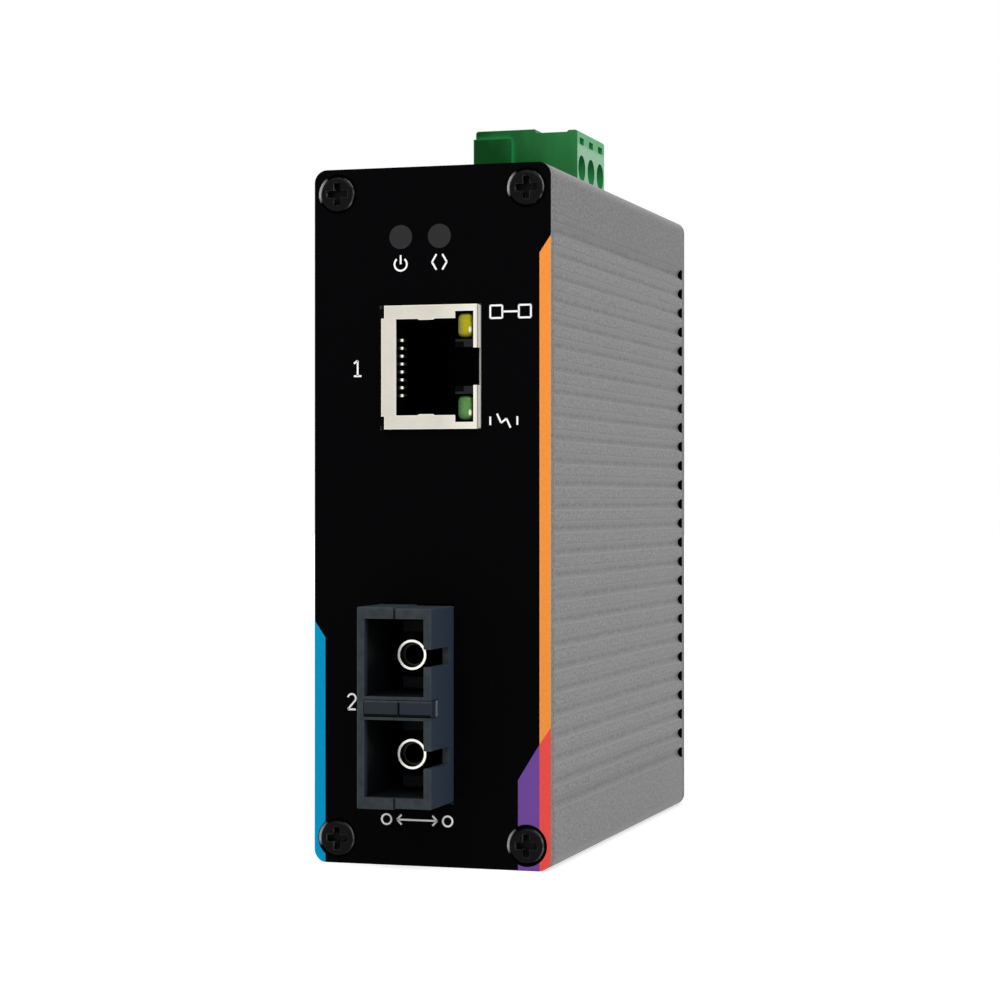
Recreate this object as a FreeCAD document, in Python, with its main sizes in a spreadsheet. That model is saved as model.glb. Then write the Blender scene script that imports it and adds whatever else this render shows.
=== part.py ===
"""Industrial fibre media converter: ribbed sleeve, two plates, board, copper jack,
duplex fibre port, pluggable power terminal and a sprung clip for a 35 mm rail.

Frame: origin at the centre of the bottom rest face, +Z up, front plate towards -Y,
+X to the right when looking at the front. Millimetres.
"""
import FreeCAD, Part
import os
import re

import Sketcher

# ---------------------------------------------------------------- driving sizes

SIZES = [
    # case
    ("body_width", 32.0, "overall width of sleeve and plates"),
    ("body_height", 90.0, "overall height"),
    ("body_depth", 75.0, "overall depth over both plates"),
    ("plate_thick", 1.5, "front plate"),
    ("rear_thick", 1.5, "rear plate"),
    ("corner_radius", 1.7, "long corners of sleeve and plates"),
    ("side_wall", 2.4, "ribbed side walls of the sleeve"),
    ("end_wall", 2.2, "top and bottom walls of the sleeve"),
    ("groove_count", 26, "grooves in each side"),
    ("groove_pitch", 2.94, "spacing of the grooves"),
    ("groove_radius", 0.8, "radius of a groove"),
    ("groove_deep", 0.65, "depth of a groove"),
    ("rib_tall", 1.0, "board guide ribs, height"),
    ("rib_thick", 1.1, "board guide ribs, thickness"),
    ("slot_depth", 0.8, "board slot sunk in the end walls"),
    ("over_cut", 1.0, "how far a cut runs past a face"),
    # plate screws
    ("screw_inset", 3.2, "plate screws from the side and end faces"),
    ("screw_radius", 1.25, "plate screw shank"),
    ("screw_long", 8.0, "plate screw, overall length"),
    ("head_radius", 2.3, "plate screw head"),
    ("sink_radius", 2.6, "countersink mouth"),
    ("head_edge", 0.12, "straight edge of a countersunk head"),
    ("head_crown", 0.5, "raised part of a plate screw head"),
    ("head_round", 0.45, "rounding of a plate screw head"),
    ("screw_gap", 0.15, "clearance of a screw in its hole"),
    ("channel_radius", 2.25, "round bosses that hold the screws"),
    ("cross_arm", 1.45, "cross recess, half length"),
    ("cross_half", 0.46, "cross recess, half width"),
    ("cross_deep", 1.2, "cross recess, depth"),
    # printed fields
    ("ink_thick", 0.05, "printed colour fields"),
    ("stripe_wide", 1.5, "edge stripes"),
    ("purple_wide", 2.85, "purple field"),
    ("stripe_slant", 2.2, "rise of a slanted stripe end"),
    ("purple_slant", 4.6, "rise of the purple field's slanted end"),
    ("orange_low", 16.1, "lower end of the orange stripe, inner edge"),
    ("orange_drop", 11.5, "upper end of the orange stripe below the top, inner edge"),
    ("blue_high", 29.2, "upper end of the blue stripe, inner edge"),
    # board
    ("board_thick", 1.6, "main board"),
    ("board_offset", 6.85, "component face of the board from the middle plane"),
    ("board_gap", 0.2, "clearance of the board in its slots"),
    ("board_end_gap", 0.5, "clearance of the board behind the plates"),
    # moulded parts and cans on the board
    ("part_space", 4.0, "space between parts on the board"),
    ("part_bevel", 0.2, "bevel of a thin part"),
    ("transformer_long", 12.7, "network transformer along Y"),
    ("transformer_tall", 16.4, "network transformer along Z"),
    ("transformer_rise", 5.9, "network transformer above the board"),
    ("controller_side", 14.0, "controller chip"),
    ("controller_rise", 1.5, "controller chip above the board"),
    ("power_chip_side", 7.0, "power chip"),
    ("power_chip_rise", 1.2, "power chip above the board"),
    ("crystal_long", 11.4, "clock crystal along Y"),
    ("crystal_tall", 4.7, "clock crystal along Z"),
    ("crystal_rise", 3.6, "clock crystal above the board"),
    ("inductor_side", 12.5, "power inductor"),
    ("inductor_rise", 7.0, "power inductor above the board"),
    ("capacitor_radius", 4.0, "capacitor can"),
    ("capacitor_rise", 11.5, "capacitor can above the board"),
    ("capacitor_neck", 1.5, "crimp of the can above the board"),
    ("capacitor_crimp", 0.3, "crimp of the can, depth and half height"),
    # status lamps
    ("lamp_drop", 9.0, "status lamps below the top"),
    ("lamp_rise", 2.7, "first lamp above the board"),
    ("lamp_pitch", 5.25, "between the two lamps"),
    ("lamp_radius", 1.4, "status lamp"),
    ("window_radius", 1.55, "round lamp window"),
    ("window_thick", 0.8, "lamp window"),
    ("fit_gap", 0.1, "side clearance of fitted pieces"),
    ("holder_deep", 6.0, "lamp holder, front to back"),
    ("holder_wide", 4.2, "lamp holder, height along Z"),
    ("holder_floor", 1.0, "rear wall of the lamp holder"),
    # copper jack
    ("jack_drop", 25.85, "centre of the jack below the top"),
    ("jack_wide", 15.9, "jack along Z"),
    ("jack_tall", 13.5, "jack above the board"),
    ("jack_deep", 21.3, "jack, front to back"),
    ("jack_proud", 1.0, "jack in front of the plate"),
    ("shield_thick", 0.3, "jack shield sheet"),
    ("shield_lift", 0.4, "front end of the shield above the board"),
    ("shield_step", 0.4, "corners of the shield above its foot"),
    ("foot_wide", 12.6, "foot of the shield along Z"),
    ("tab_start", 3.0, "sprung edge of the mouth from its floor"),
    ("tab_wide", 2.2, "sprung edge of the mouth"),
    ("tab_deep", 0.15, "sprung edge into the mouth"),
    ("mouth_floor", 2.35, "jack mouth above the board"),
    ("mouth_tall", 8.0, "jack mouth up to the lamp pockets"),
    ("mouth_wide", 12.4, "jack mouth along Z"),
    ("latch_way_tall", 2.5, "way for the latch above the mouth"),
    ("latch_way_wide", 5.0, "way for the latch along Z"),
    ("latch_notch_wide", 4.8, "notch for the latch thumb piece"),
    ("latch_notch_deep", 2.6, "notch for the latch thumb piece, depth"),
    ("mouth_deep", 14.5, "jack cavity"),
    ("pocket_wide", 3.6, "jack lamp pocket along Z"),
    ("pocket_tall", 2.5, "jack lamp pocket along X"),
    ("pocket_rim", 0.85, "shield between a lamp pocket and the jack's side"),
    ("pocket_deep", 3.0, "jack lamp pocket"),
    ("jack_lamp_gap", 0.2, "clearance of a jack lamp"),
    ("jack_lamp_sunk", 0.3, "jack lamp behind the shield's face"),
    ("jack_lamp_corner", 0.75, "long corners of a jack lamp"),
    ("jack_lamp_round", 0.65, "front edge of a jack lamp"),
    ("contact_count", 8, "jack contacts"),
    ("contact_pitch", 1.02, "jack contacts"),
    ("contact_wide", 0.34, "jack contacts"),
    ("contact_thick", 0.32, "jack contacts"),
    ("contact_rise", 2.3, "rear end of a contact above the mouth floor"),
    ("contact_start", 1.7, "front end of a contact behind the jack face"),
    ("contact_sunk", 0.5, "foot of a contact below the mouth floor"),
    ("contact_foot", 3.0, "foot of a contact"),
    ("contact_nose", 0.25, "bend in front of a contact's foot"),
    ("contact_tail", 1.5, "straight rear end of a contact"),
    ("comb_deep", 0.8, "comb slots behind the cavity"),
    # fibre port
    ("port_height", 20.95, "centre of the fibre port above the base"),
    ("port_pitch", 12.7, "between the two fibre bores"),
    ("shell_tall", 25.4, "transceiver along Z"),
    ("shell_thick", 9.85, "transceiver above the board"),
    ("shell_long", 38.9, "transceiver, front to back"),
    ("shell_proud", 9.0, "transceiver nose in front of the plate"),
    ("shell_step", 0.15, "cover half lower than the base half"),
    ("shell_chamfer", 0.12, "edges of the transceiver halves"),
    ("port_wide", 9.8, "one port opening along Z"),
    ("port_thick", 7.9, "one port opening along X"),
    ("port_deep", 16.5, "port opening depth"),
    ("key_wide", 2.25, "key slot"),
    ("key_long", 7.3, "key slot"),
    ("bar_tall", 2.0, "middle bar along Z"),
    ("bar_proud", 0.16, "middle bar in front of the nose and beside it"),
    ("bar_long", 2.8, "middle bar, front to back"),
    ("bar_seam", 0.22, "groove across the middle bar, width and depth"),
    ("bar_seam_right", 0.65, "groove of the middle bar beside the ports' middle"),
    ("hook_thick", 0.8, "latch hooks"),
    ("hook_wide", 3.4, "latch hooks along X"),
    ("hook_long", 8.0, "latch hooks"),
    ("hook_tip", 0.6, "catch at the end of a hook"),
    ("block_thick", 2.0, "latch block"),
    ("barrel_radius", 1.93, "metal barrel, outside"),
    ("barrel_bore", 1.63, "metal barrel, inside"),
    ("barrel_long", 9.5, "metal barrel in front of the latch block"),
    ("barrel_floor", 1.0, "barrel bore behind the latch block"),
    ("can_radius", 2.8, "optical can behind the barrel"),
    ("can_long", 7.0, "optical can"),
    ("sleeve_bore", 1.255, "ceramic sleeve, inside"),
    ("sleeve_long", 11.0, "ceramic sleeve"),
    ("sleeve_back", 1.0, "ceramic sleeve behind the barrel mouth"),
    ("sleeve_slit", 0.4, "slit of the ceramic sleeve"),
    ("pin_count", 9, "transceiver pins"),
    ("pin_pitch", 2.54, "transceiver pins"),
    ("pin_wide", 0.5, "transceiver pins"),
    ("pin_out", 0.8, "solder ends behind the board"),
    # power terminal
    ("pole_pitch", 5.08, "between two poles"),
    ("pole_count", 3, "poles"),
    ("terminal_back", 47.6, "middle of the terminal behind the front face"),
    ("header_tall", 8.5, "header above the board"),
    ("header_long", 12.0, "header along Z"),
    ("header_wall", 1.0, "header walls"),
    ("header_floor", 2.6, "header floor"),
    ("header_below", 0.2, "header below the guide ribs"),
    ("pin_square", 1.0, "header pins"),
    ("pin_reach", 5.6, "header pins above the header floor"),
    ("plug_thick", 15.15, "plug body above the board"),
    ("plug_tall", 13.1, "plug body above the header"),
    ("plug_bevel", 0.25, "upper edges of the plug"),
    ("lip_wide", 1.3, "lip over the plug's screw face"),
    ("lip_rise", 0.25, "lip over the plug's screw face"),
    ("crown_wide", 8.8, "raised top over the wire entries, along X"),
    ("crown_rise", 0.3, "raised top above the lip"),
    ("plug_gap", 0.2, "plug seat above the header"),
    ("tongue_long", 6.0, "plug tongue in the header"),
    ("tongue_gap", 0.15, "clearance of the tongue"),
    ("opening_gap", 0.4, "clearance of the plug in the sleeve opening"),
    ("end_pad", 1.0, "raised pad on the plug's front end"),
    ("end_pad_wide", 5.45, "raised pad along X"),
    ("end_pad_drop", 1.0, "raised pad below the plug's top"),
    ("clamp_drop", 5.3, "clamp screw axis below the plug's top"),
    ("clamp_hole", 1.9, "clamp screw hole, radius"),
    ("clamp_head", 1.75, "clamp screw head, radius"),
    ("clamp_head_tall", 1.6, "clamp screw head"),
    ("clamp_sunk", 1.0, "clamp screw head below the face"),
    ("clamp_shank", 1.2, "clamp screw shank, radius"),
    ("clamp_slot", 0.6, "screwdriver slot"),
    ("thread_gap", 0.05, "clearance of a thread"),
    ("cage_wide", 3.9, "clamp cage along Y"),
    ("cage_tall", 4.0, "clamp cage along Z"),
    ("cage_wall", 0.65, "clamp cage walls"),
    ("cage_nut", 1.5, "threaded wall of the cage"),
    ("cage_space", 2.6, "wire space of an open cage"),
    ("cage_travel", 2.0, "rise of the cage from open to closed"),
    ("cage_gap", 0.12, "clearance of the cage"),
    ("bar_thick", 0.8, "plug contact bar"),
    ("bar_wide", 2.4, "plug contact bar along Y"),
    ("tine_thick", 0.45, "plug contact tines"),
    ("bar_foot", 1.0, "contact bar below the cage"),
    ("fork_gap", 0.4, "clearance at both ends of the fork"),
    ("test_wide", 2.3, "test recess along Y"),
    ("test_tall", 1.0, "test recess along Z"),
    ("test_drop", 0.9, "test recess below the plug's top"),
    ("test_deep", 1.5, "test recess"),
    # rail clip
    ("rail_height", 48.0, "middle of the mounting rail above the base"),
    ("rail_tall", 35.0, "standard mounting rail"),
    ("rail_slot", 1.3, "gap for the rail's edge"),
    ("rail_play", 0.2, "play of the rail between hook and latch"),
    ("hook_reach", 1.8, "hook over the rail's edge"),
    ("lip_thick", 1.6, "hook lips"),
    ("hook_root", 3.2, "hook above the rail"),
    ("bracket_thick", 3.0, "bracket plate"),
    ("bracket_wide", 22.0, "bracket along X"),
    ("bracket_low", 12.0, "lower end of the bracket"),
    ("bracket_round", 2.0, "lower corners of the bracket"),
    ("latch_low", 6.0, "lower end of the latch"),
    ("latch_wide", 10.0, "latch body along X"),
    ("latch_flange", 1.0, "latch flange each side"),
    ("flange_thick", 0.85, "latch flange"),
    ("latch_gap", 0.2, "clearance of the latch in its channel"),
    ("channel_deep", 1.9, "latch channel in the bracket"),
    ("latch_travel", 4.0, "travel of the latch"),
    ("latch_foot", 3.0, "latch hook along Z below the rail"),
    ("latch_tail", 8.0, "latch below its flanges"),
    ("lip_bevel", 0.5, "bevels of hook and catch"),
    ("driver_low", 2.0, "screwdriver slot above the latch's end"),
    ("driver_tall", 2.2, "screwdriver slot along Z"),
    ("driver_wide", 6.0, "screwdriver slot along X"),
    ("window_low", 15.8, "lower edge of the latch window"),
    ("window_wide", 4.4, "latch window along X"),
    ("post_tall", 2.0, "spring post along Z"),
    ("post_gap", 0.2, "post above the window's lower edge"),
    ("spring_radius", 1.5, "latch spring, to the wire's middle"),
    ("wire_radius", 0.25, "latch spring wire"),
    ("spring_turns", 6, "latch spring turns"),
    ("spring_gap", 0.05, "clearance at the spring's ends"),
    ("bracket_screw", 1.5, "bracket screw shank, radius"),
    ("bracket_head", 2.8, "bracket screw head, radius"),
    ("bracket_sink", 3.0, "bracket countersink mouth, radius"),
    ("bracket_screw_long", 5.5, "bracket screw"),
    ("bracket_screw_low", 44.0, "lower bracket screw above the base"),
    ("bracket_screw_pitch", 14.0, "between the bracket screws"),
]

doc = FreeCAD.newDocument("media_converter")
sheet = doc.addObject("Spreadsheet::Sheet", "Sizes")
for row, (alias, number, meaning) in enumerate(SIZES, start=1):
    sheet.set(f"A{row}", meaning)
    sheet.set(f"B{row}", str(number))
    sheet.setAlias(f"B{row}", alias)
doc.recompute()

NAMES = {alias for alias, number, meaning in SIZES}
subparts = {}

# ---------------------------------------------------------------- shared places

FRONT = "(-body_depth / 2)"
REAR = "(body_depth / 2)"
SLEEVE_FRONT = "(-body_depth / 2 + plate_thick)"
SLEEVE_REAR = "(body_depth / 2 - rear_thick)"
SIDE = "(body_width / 2)"
INNER_SIDE = "(body_width / 2 - side_wall)"
CEILING = "(body_height - end_wall)"
SCREW_X = "(body_width / 2 - screw_inset)"
SCREW_PITCH_X = "(body_width - 2 * screw_inset)"
SCREW_PITCH_Z = "(body_height - 2 * screw_inset)"
HEAD_FACE = "(sink_radius - head_radius - head_edge)"
LAMP_Z = "(body_height - lamp_drop)"
ORANGE_HIGH = "(body_height - orange_drop)"
BOARD = "(-board_offset)"
BOARD_BACK = "(-board_offset - board_thick)"

JACK_Z = "(body_height - jack_drop)"
JACK_FRONT = f"({FRONT} - jack_proud)"
JACK_BACK = f"({JACK_FRONT} + jack_deep)"
JACK_TOP = f"({BOARD} + jack_tall)"
MOUTH_LOW = f"({BOARD} + mouth_floor)"
MOUTH_TOP = f"({MOUTH_LOW} + mouth_tall)"
POCKET_TOP = f"({MOUTH_TOP} + latch_way_tall)"
FIRST_CONTACT = f"({JACK_Z} - (contact_count - 1) / 2 * contact_pitch)"
POCKET_OUT = "(jack_wide / 2 - pocket_rim)"
POCKET_IN = "(jack_wide / 2 - pocket_rim - pocket_wide)"

PORT_X = f"({BOARD} + shell_thick / 2)"
SHELL_RIGHT = f"({BOARD} + shell_thick)"
SHELL_FRONT = f"({FRONT} - shell_proud)"
SHELL_BACK = f"({SHELL_FRONT} + shell_long)"
SHELL_LOW = "(port_height - shell_tall / 2)"
SHELL_HIGH = "(port_height + shell_tall / 2)"
PORT_LEFT = f"({PORT_X} - port_thick / 2)"
PORT_RIGHT = f"({PORT_X} + port_thick / 2)"
PORT_SPAN = ("port_height - (port_pitch + port_wide) / 2", "port_height + (port_pitch + port_wide) / 2")
LOWER_PORT = "(port_height - port_pitch / 2)"
BLOCK_FRONT = f"({SHELL_FRONT} + port_deep)"
BLOCK_BACK = f"({BLOCK_FRONT} + block_thick)"
BARREL_MOUTH = f"({BLOCK_FRONT} - barrel_long)"

TERMINAL_Y = f"({FRONT} + terminal_back)"
FIRST_POLE = f"({TERMINAL_Y} - (pole_count - 1) * pole_pitch / 2)"
HEADER_TOP = f"({CEILING} - rib_tall - header_below)"
HEADER_LOW = f"({HEADER_TOP} - header_long)"
HEADER_INNER = f"({HEADER_LOW} + header_floor)"
PIN_X = f"({BOARD} + header_tall / 2)"
PLUG_LOW = f"({HEADER_TOP} + plug_gap)"
PLUG_TOP = f"({PLUG_LOW} + plug_tall)"
PLUG_HALF = "(pole_count * pole_pitch / 2)"
PLUG_LEFT = f"({BOARD} + tongue_gap)"
PLUG_FACE = f"({PLUG_LEFT} + plug_thick)"
PLUG_CROWN = f"({PLUG_TOP} + crown_rise)"
CLAMP_Z = f"({PLUG_TOP} - clamp_drop)"
CLAMP_HEAD_TOP = f"({PLUG_FACE} - clamp_sunk)"
CLAMP_HEAD_LOW = f"({CLAMP_HEAD_TOP} - clamp_head_tall)"
BAR_LEFT = f"({PIN_X} + 0.1 * pin_square)"
BAR_RIGHT = f"({BAR_LEFT} + bar_thick)"
CAGE_FLOOR = f"({BAR_LEFT} - cage_space)"
CAGE_LEFT = f"({CAGE_FLOOR} - cage_wall)"
NUT_LEFT = f"({BAR_RIGHT} + cage_space)"
NUT_RIGHT = f"({NUT_LEFT} + cage_nut)"

SEAT = f"({REAR} + bracket_thick)"
LIP_FRONT = f"({SEAT} + rail_slot)"
LIP_BACK = f"({LIP_FRONT} + lip_thick)"
RAIL_TOP = "(rail_height + rail_tall / 2)"
RAIL_LOW = "(rail_height - rail_tall / 2)"
CHANNEL = f"({SEAT} - channel_deep)"
LATCH_FRONT = f"({CHANNEL} + latch_gap)"
LATCH_TOP = f"({RAIL_LOW} + hook_reach + rail_play)"
WINDOW_HIGH = f"({RAIL_LOW} - rail_play / 2 - latch_foot)"
POST_LOW = "(window_low + post_gap)"
POST_HIGH = f"({POST_LOW} + post_tall)"
SPRING_Y = f"({CHANNEL} + spring_radius + 2 * wire_radius)"

# Nearness that counts as touching, and the least cosine that counts as parallel.
TOUCH = 1e-6
PARALLEL = 0.999

# ---------------------------------------------------------------- tools of the trade

PLANES = {"xy": ("XY_Plane", 1), "xz": ("XZ_Plane", -1), "yz": ("YZ_Plane", 1)}
TURNED = {"x": ("xy", "y", "H_Axis"), "y": ("xy", "x", "V_Axis"), "z": ("xz", "x", "V_Axis")}


def bound(text):
    """Write an expression with the sheet's name before each size."""
    return re.sub(r"[a-z_]+", lambda word: "Sizes." + word[0] if word[0] in NAMES else word[0], text)


def value(text):
    """Work out an expression of sizes as a number."""
    return float(sheet.evalExpression(bound(text)))


def origin_feature(body, role):
    return next(item for item in body.Origin.OriginFeatures if item.Role == role)


def new_body(label):
    body = doc.addObject("PartDesign::Body", "Body")
    body.Label = label
    subparts[label] = body
    return body


def new_sketch(body, plane, level, shift="0", shift_axis="x"):
    """Sketch on a plane of the body's own origin, moved to a level along the plane's normal."""
    role, sign = PLANES[plane]
    sketch = body.newObject("Sketcher::SketchObject", "Sketch")
    sketch.AttachmentSupport = [(origin_feature(body, role), "")]
    sketch.MapMode = "FlatFace"
    sketch.setExpression("AttachmentOffset.Base.z", bound(f"{sign} * ({level})"))
    sketch.setExpression(f"AttachmentOffset.Base.{shift_axis}", bound(shift))
    return sketch


def fix(sketch, kind, geometry, point, text):
    """Add a dimension from the sketch's origin and bind it to an expression."""
    number = sketch.addConstraint(Sketcher.Constraint(kind, -1, 1, geometry, point, value(text)))
    sketch.setExpression(f"Constraints[{number}]", bound(text))


def draw_outline(sketch, corners):
    first = sketch.GeometryCount
    spots = [FreeCAD.Vector(value(across), value(up), 0) for across, up in corners]
    for start, end in zip(spots, spots[1:] + spots[:1]):
        sketch.addGeometry(Part.LineSegment(start, end), False)
    for index, (across, up) in enumerate(corners):
        following = first + (index + 1) % len(corners)
        sketch.addConstraint(Sketcher.Constraint("Coincident", first + index, 2, following, 1))
        fix(sketch, "DistanceX", first + index, 1, across)
        fix(sketch, "DistanceY", first + index, 1, up)


def draw_disc(sketch, across, up, radius):
    index = sketch.GeometryCount
    centre = FreeCAD.Vector(value(across), value(up), 0)
    sketch.addGeometry(Part.Circle(centre, FreeCAD.Vector(0, 0, 1), value(radius)), False)
    fix(sketch, "DistanceX", index, 3, across)
    fix(sketch, "DistanceY", index, 3, up)
    number = sketch.addConstraint(Sketcher.Constraint("Radius", index, value(radius)))
    sketch.setExpression(f"Constraints[{number}]", bound(radius))


def draw(sketch, shapes):
    for shape in shapes:
        if isinstance(shape, list):
            draw_outline(sketch, shape)
        else:
            draw_disc(sketch, *shape)


def rect(left, right, low, high):
    return [(left, low), (right, low), (right, high), (left, high)]


def disc(across, up, radius):
    return (across, up, radius)


def cross(across, up, arm, half):
    """Outline of a plus sign about a centre."""
    turns = [(half, f"-{half}"), (arm, f"-{half}"), (arm, half), (half, half), (half, arm),
             (f"-{half}", arm), (f"-{half}", half), (f"-{arm}", half), (f"-{arm}", f"-{half}"),
             (f"-{half}", f"-{half}"), (f"-{half}", f"-{arm}"), (half, f"-{arm}")]
    return [(f"{across} + {x}", f"{up} + {y}") for x, y in turns]


def settle(body, feature, adds):
    """Make a feature the body's tip and make sure that it changed the solid as meant."""
    body.Tip = feature
    doc.recompute()
    before = feature.BaseFeature.Shape.Volume if feature.BaseFeature else 0.0
    change = body.Shape.Volume - before
    if (change > 0) != adds or abs(change) < TOUCH:
        raise ValueError(f"{body.Label}: {feature.Name} changed the volume by {change:.6f}")
    return feature


def add(body, plane, start, end, *shapes):
    """Pad shapes drawn at level start along the plane's axis up to level end."""
    sketch = new_sketch(body, plane, start)
    draw(sketch, shapes)
    feature = body.newObject("PartDesign::Pad", "Pad")
    feature.Profile = sketch
    feature.Reversed = PLANES[plane][1] < 0
    feature.setExpression("Length", bound(f"({end}) - ({start})"))
    return settle(body, feature, adds=True)


def cut(body, plane, start, end, *shapes):
    """Pocket shapes drawn at level start along the plane's axis up to level end."""
    sketch = new_sketch(body, plane, start)
    draw(sketch, shapes)
    feature = body.newObject("PartDesign::Pocket", "Pocket")
    feature.Profile = sketch
    feature.Reversed = PLANES[plane][1] > 0
    feature.setExpression("Length", bound(f"({end}) - ({start})"))
    return settle(body, feature, adds=False)


def turn(body, axis, centre, profile, adds=True):
    """Revolve a profile of (along, radius) corners about an axis parallel to X, Y or Z."""
    plane, shift_axis, sketch_axis = TURNED[axis]
    sketch = new_sketch(body, plane, centre[1], centre[0], shift_axis)
    corners = [(radius, along) for along, radius in profile]
    draw_outline(sketch, profile if axis == "x" else corners)
    kind = "Revolution" if adds else "Groove"
    feature = body.newObject("PartDesign::" + kind, kind)
    feature.Profile = sketch
    feature.ReferenceAxis = (sketch, [sketch_axis])
    feature.Angle = 360
    return settle(body, feature, adds)


def repeat(body, features, adds, **steps):
    """Repeat features along the body's axes: x=(pitch, count), y=..., z=..."""
    patterns = []
    whole = body.newObject("PartDesign::MultiTransform", "Pattern")
    whole.Originals = features
    for axis, (pitch, count) in steps.items():
        pattern = doc.addObject("PartDesign::LinearPattern", "Row")
        body.addObject(pattern)
        pattern.Direction = (origin_feature(body, axis.upper() + "_Axis"), [""])
        pattern.setExpression("Length", bound(f"({pitch}) * ({count} - 1)"))
        pattern.setExpression("Occurrences", bound(count))
        patterns.append(pattern)
    whole.Transformations = patterns
    return settle(body, whole, adds)


def dress(body, kind, size, chosen):
    """Fillet or chamfer the edges that a test chooses."""
    base = body.Tip
    edges = enumerate(body.Shape.Edges, start=1)
    names = [f"Edge{number}" for number, edge in edges if chosen(edge)]
    feature = body.newObject("PartDesign::" + kind, kind)
    feature.Base = (base, names)
    feature.setExpression("Radius" if kind == "Fillet" else "Size", bound(size))
    body.Tip = feature
    doc.recompute()


def runs_along(edge, axis, low=None, high=None):
    """True for a straight edge parallel to an axis, with its middle between two corners."""
    if not isinstance(edge.Curve, (Part.Line, Part.LineSegment)):
        return False
    if abs(getattr(edge.tangentAt(edge.FirstParameter), axis)) < PARALLEL:
        return False
    middle = edge.CenterOfMass
    inside = True
    for limit, sign in ((low, 1), (high, -1)):
        for name, level in (limit or {}).items():
            inside = inside and sign * (getattr(middle, name) - value(level)) > 0
    return inside


def lies_at(edge, axis, level):
    """True when an edge's middle lies at a level of an axis."""
    return abs(getattr(edge.CenterOfMass, axis) - value(level)) < TOUCH


def through_hole(body, face, towards_back, centres, radius, mouth):
    """Countersunk through holes in a plate, drilled from its face."""
    sketch = new_sketch(body, "xz", face)
    draw(sketch, [disc(across, up, radius) for across, up in centres])
    doc.recompute()
    hole = body.newObject("PartDesign::Hole", "Hole")
    hole.Profile = sketch
    doc.recompute()
    hole.Reversed = not towards_back
    hole.DepthType = "ThroughAll"
    hole.HoleCutType = "Countersink"
    hole.HoleCutCustomValues = True
    hole.setExpression("Diameter", bound(f"2 * ({radius})"))
    hole.setExpression("HoleCutDiameter", bound(f"2 * ({mouth})"))
    hole.HoleCutCountersinkAngle = 90
    return settle(body, hole, adds=False)


def plate_corners(edge):
    """The four long corners of the case's outline."""
    outer = lies_at(edge, "x", SIDE) or lies_at(edge, "x", f"-{SIDE}")
    end = lies_at(edge, "z", "0") or lies_at(edge, "z", "body_height")
    return runs_along(edge, "y") and outer and end


def screw_places():
    """Centres of the four plate screws in the XZ plane."""
    levels = ("screw_inset", "(body_height - screw_inset)")
    return [(f"{side} * {SCREW_X}", level) for side in ("-1", "1") for level in levels]


# ---------------------------------------------------------------- case

def housing():
    """Extruded sleeve: grooved sides, board slots, screw bosses and the terminal's opening."""
    body = new_body("housing")
    ends = (SLEEVE_FRONT, SLEEVE_REAR)
    add(body, "xz", *ends, rect(f"-{SIDE}", SIDE, "0", "body_height"))
    dress(body, "Fillet", "corner_radius", plate_corners)
    cut(body, "xz", *ends, rect(f"-{INNER_SIDE}", INNER_SIDE, "end_wall", CEILING))
    add(body, "xz", *ends, *[disc(x, z, "channel_radius") for x, z in screw_places()])
    cut(body, "xz", *ends, *[disc(x, z, "screw_radius + screw_gap") for x, z in screw_places()])

    slot_left = f"({BOARD_BACK} - board_gap)"
    slot_right = f"({BOARD} + board_gap)"
    ribs = []
    for low, high in (("end_wall", "end_wall + rib_tall"), (f"{CEILING} - rib_tall", CEILING)):
        ribs.append(rect(f"{slot_left} - rib_thick", slot_left, low, high))
        ribs.append(rect(slot_right, f"{slot_right} + rib_thick", low, high))
    add(body, "xz", *ends, *ribs)
    cut(body, "xz", *ends, rect(slot_left, slot_right, "end_wall - slot_depth", "end_wall"),
        rect(slot_left, slot_right, CEILING, f"{CEILING} + slot_depth"))

    lowest = "((body_height - (groove_count - 1) * groove_pitch) / 2)"
    centre = f"({SIDE} - groove_deep + groove_radius)"
    grooves = cut(body, "xz", *ends, disc(centre, lowest, "groove_radius"),
                  disc(f"-{centre}", lowest, "groove_radius"))
    repeat(body, [grooves], adds=False, z=("groove_pitch", "groove_count"))

    front = f"({TERMINAL_Y} - {PLUG_HALF} - end_pad - opening_gap)"
    back = f"({TERMINAL_Y} + {PLUG_HALF} + opening_gap)"
    left = f"({PLUG_LEFT} - opening_gap)"
    right = f"({PLUG_FACE} + opening_gap)"
    cut(body, "xy", f"{CEILING} - rib_tall", "body_height + over_cut", rect(left, right, front, back))
    low = {"x": f"{left} - fit_gap", "y": f"{front} - fit_gap", "z": f"{CEILING} - rib_tall"}
    high = {"x": f"{right} + fit_gap", "y": f"{back} + fit_gap"}
    dress(body, "Fillet", "opening_gap", lambda edge: runs_along(edge, "z", low, high))


def plate(label, face, inner, outer_towards_back):
    """Blank of a plate with its four countersunk screw holes."""
    body = new_body(label)
    start, end = (face, inner) if outer_towards_back else (inner, face)
    add(body, "xz", start, end, rect(f"-{SIDE}", SIDE, "0", "body_height"))
    dress(body, "Fillet", "corner_radius", plate_corners)
    through_hole(body, face, outer_towards_back, screw_places(), "screw_radius + screw_gap", "sink_radius")
    return body


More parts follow.
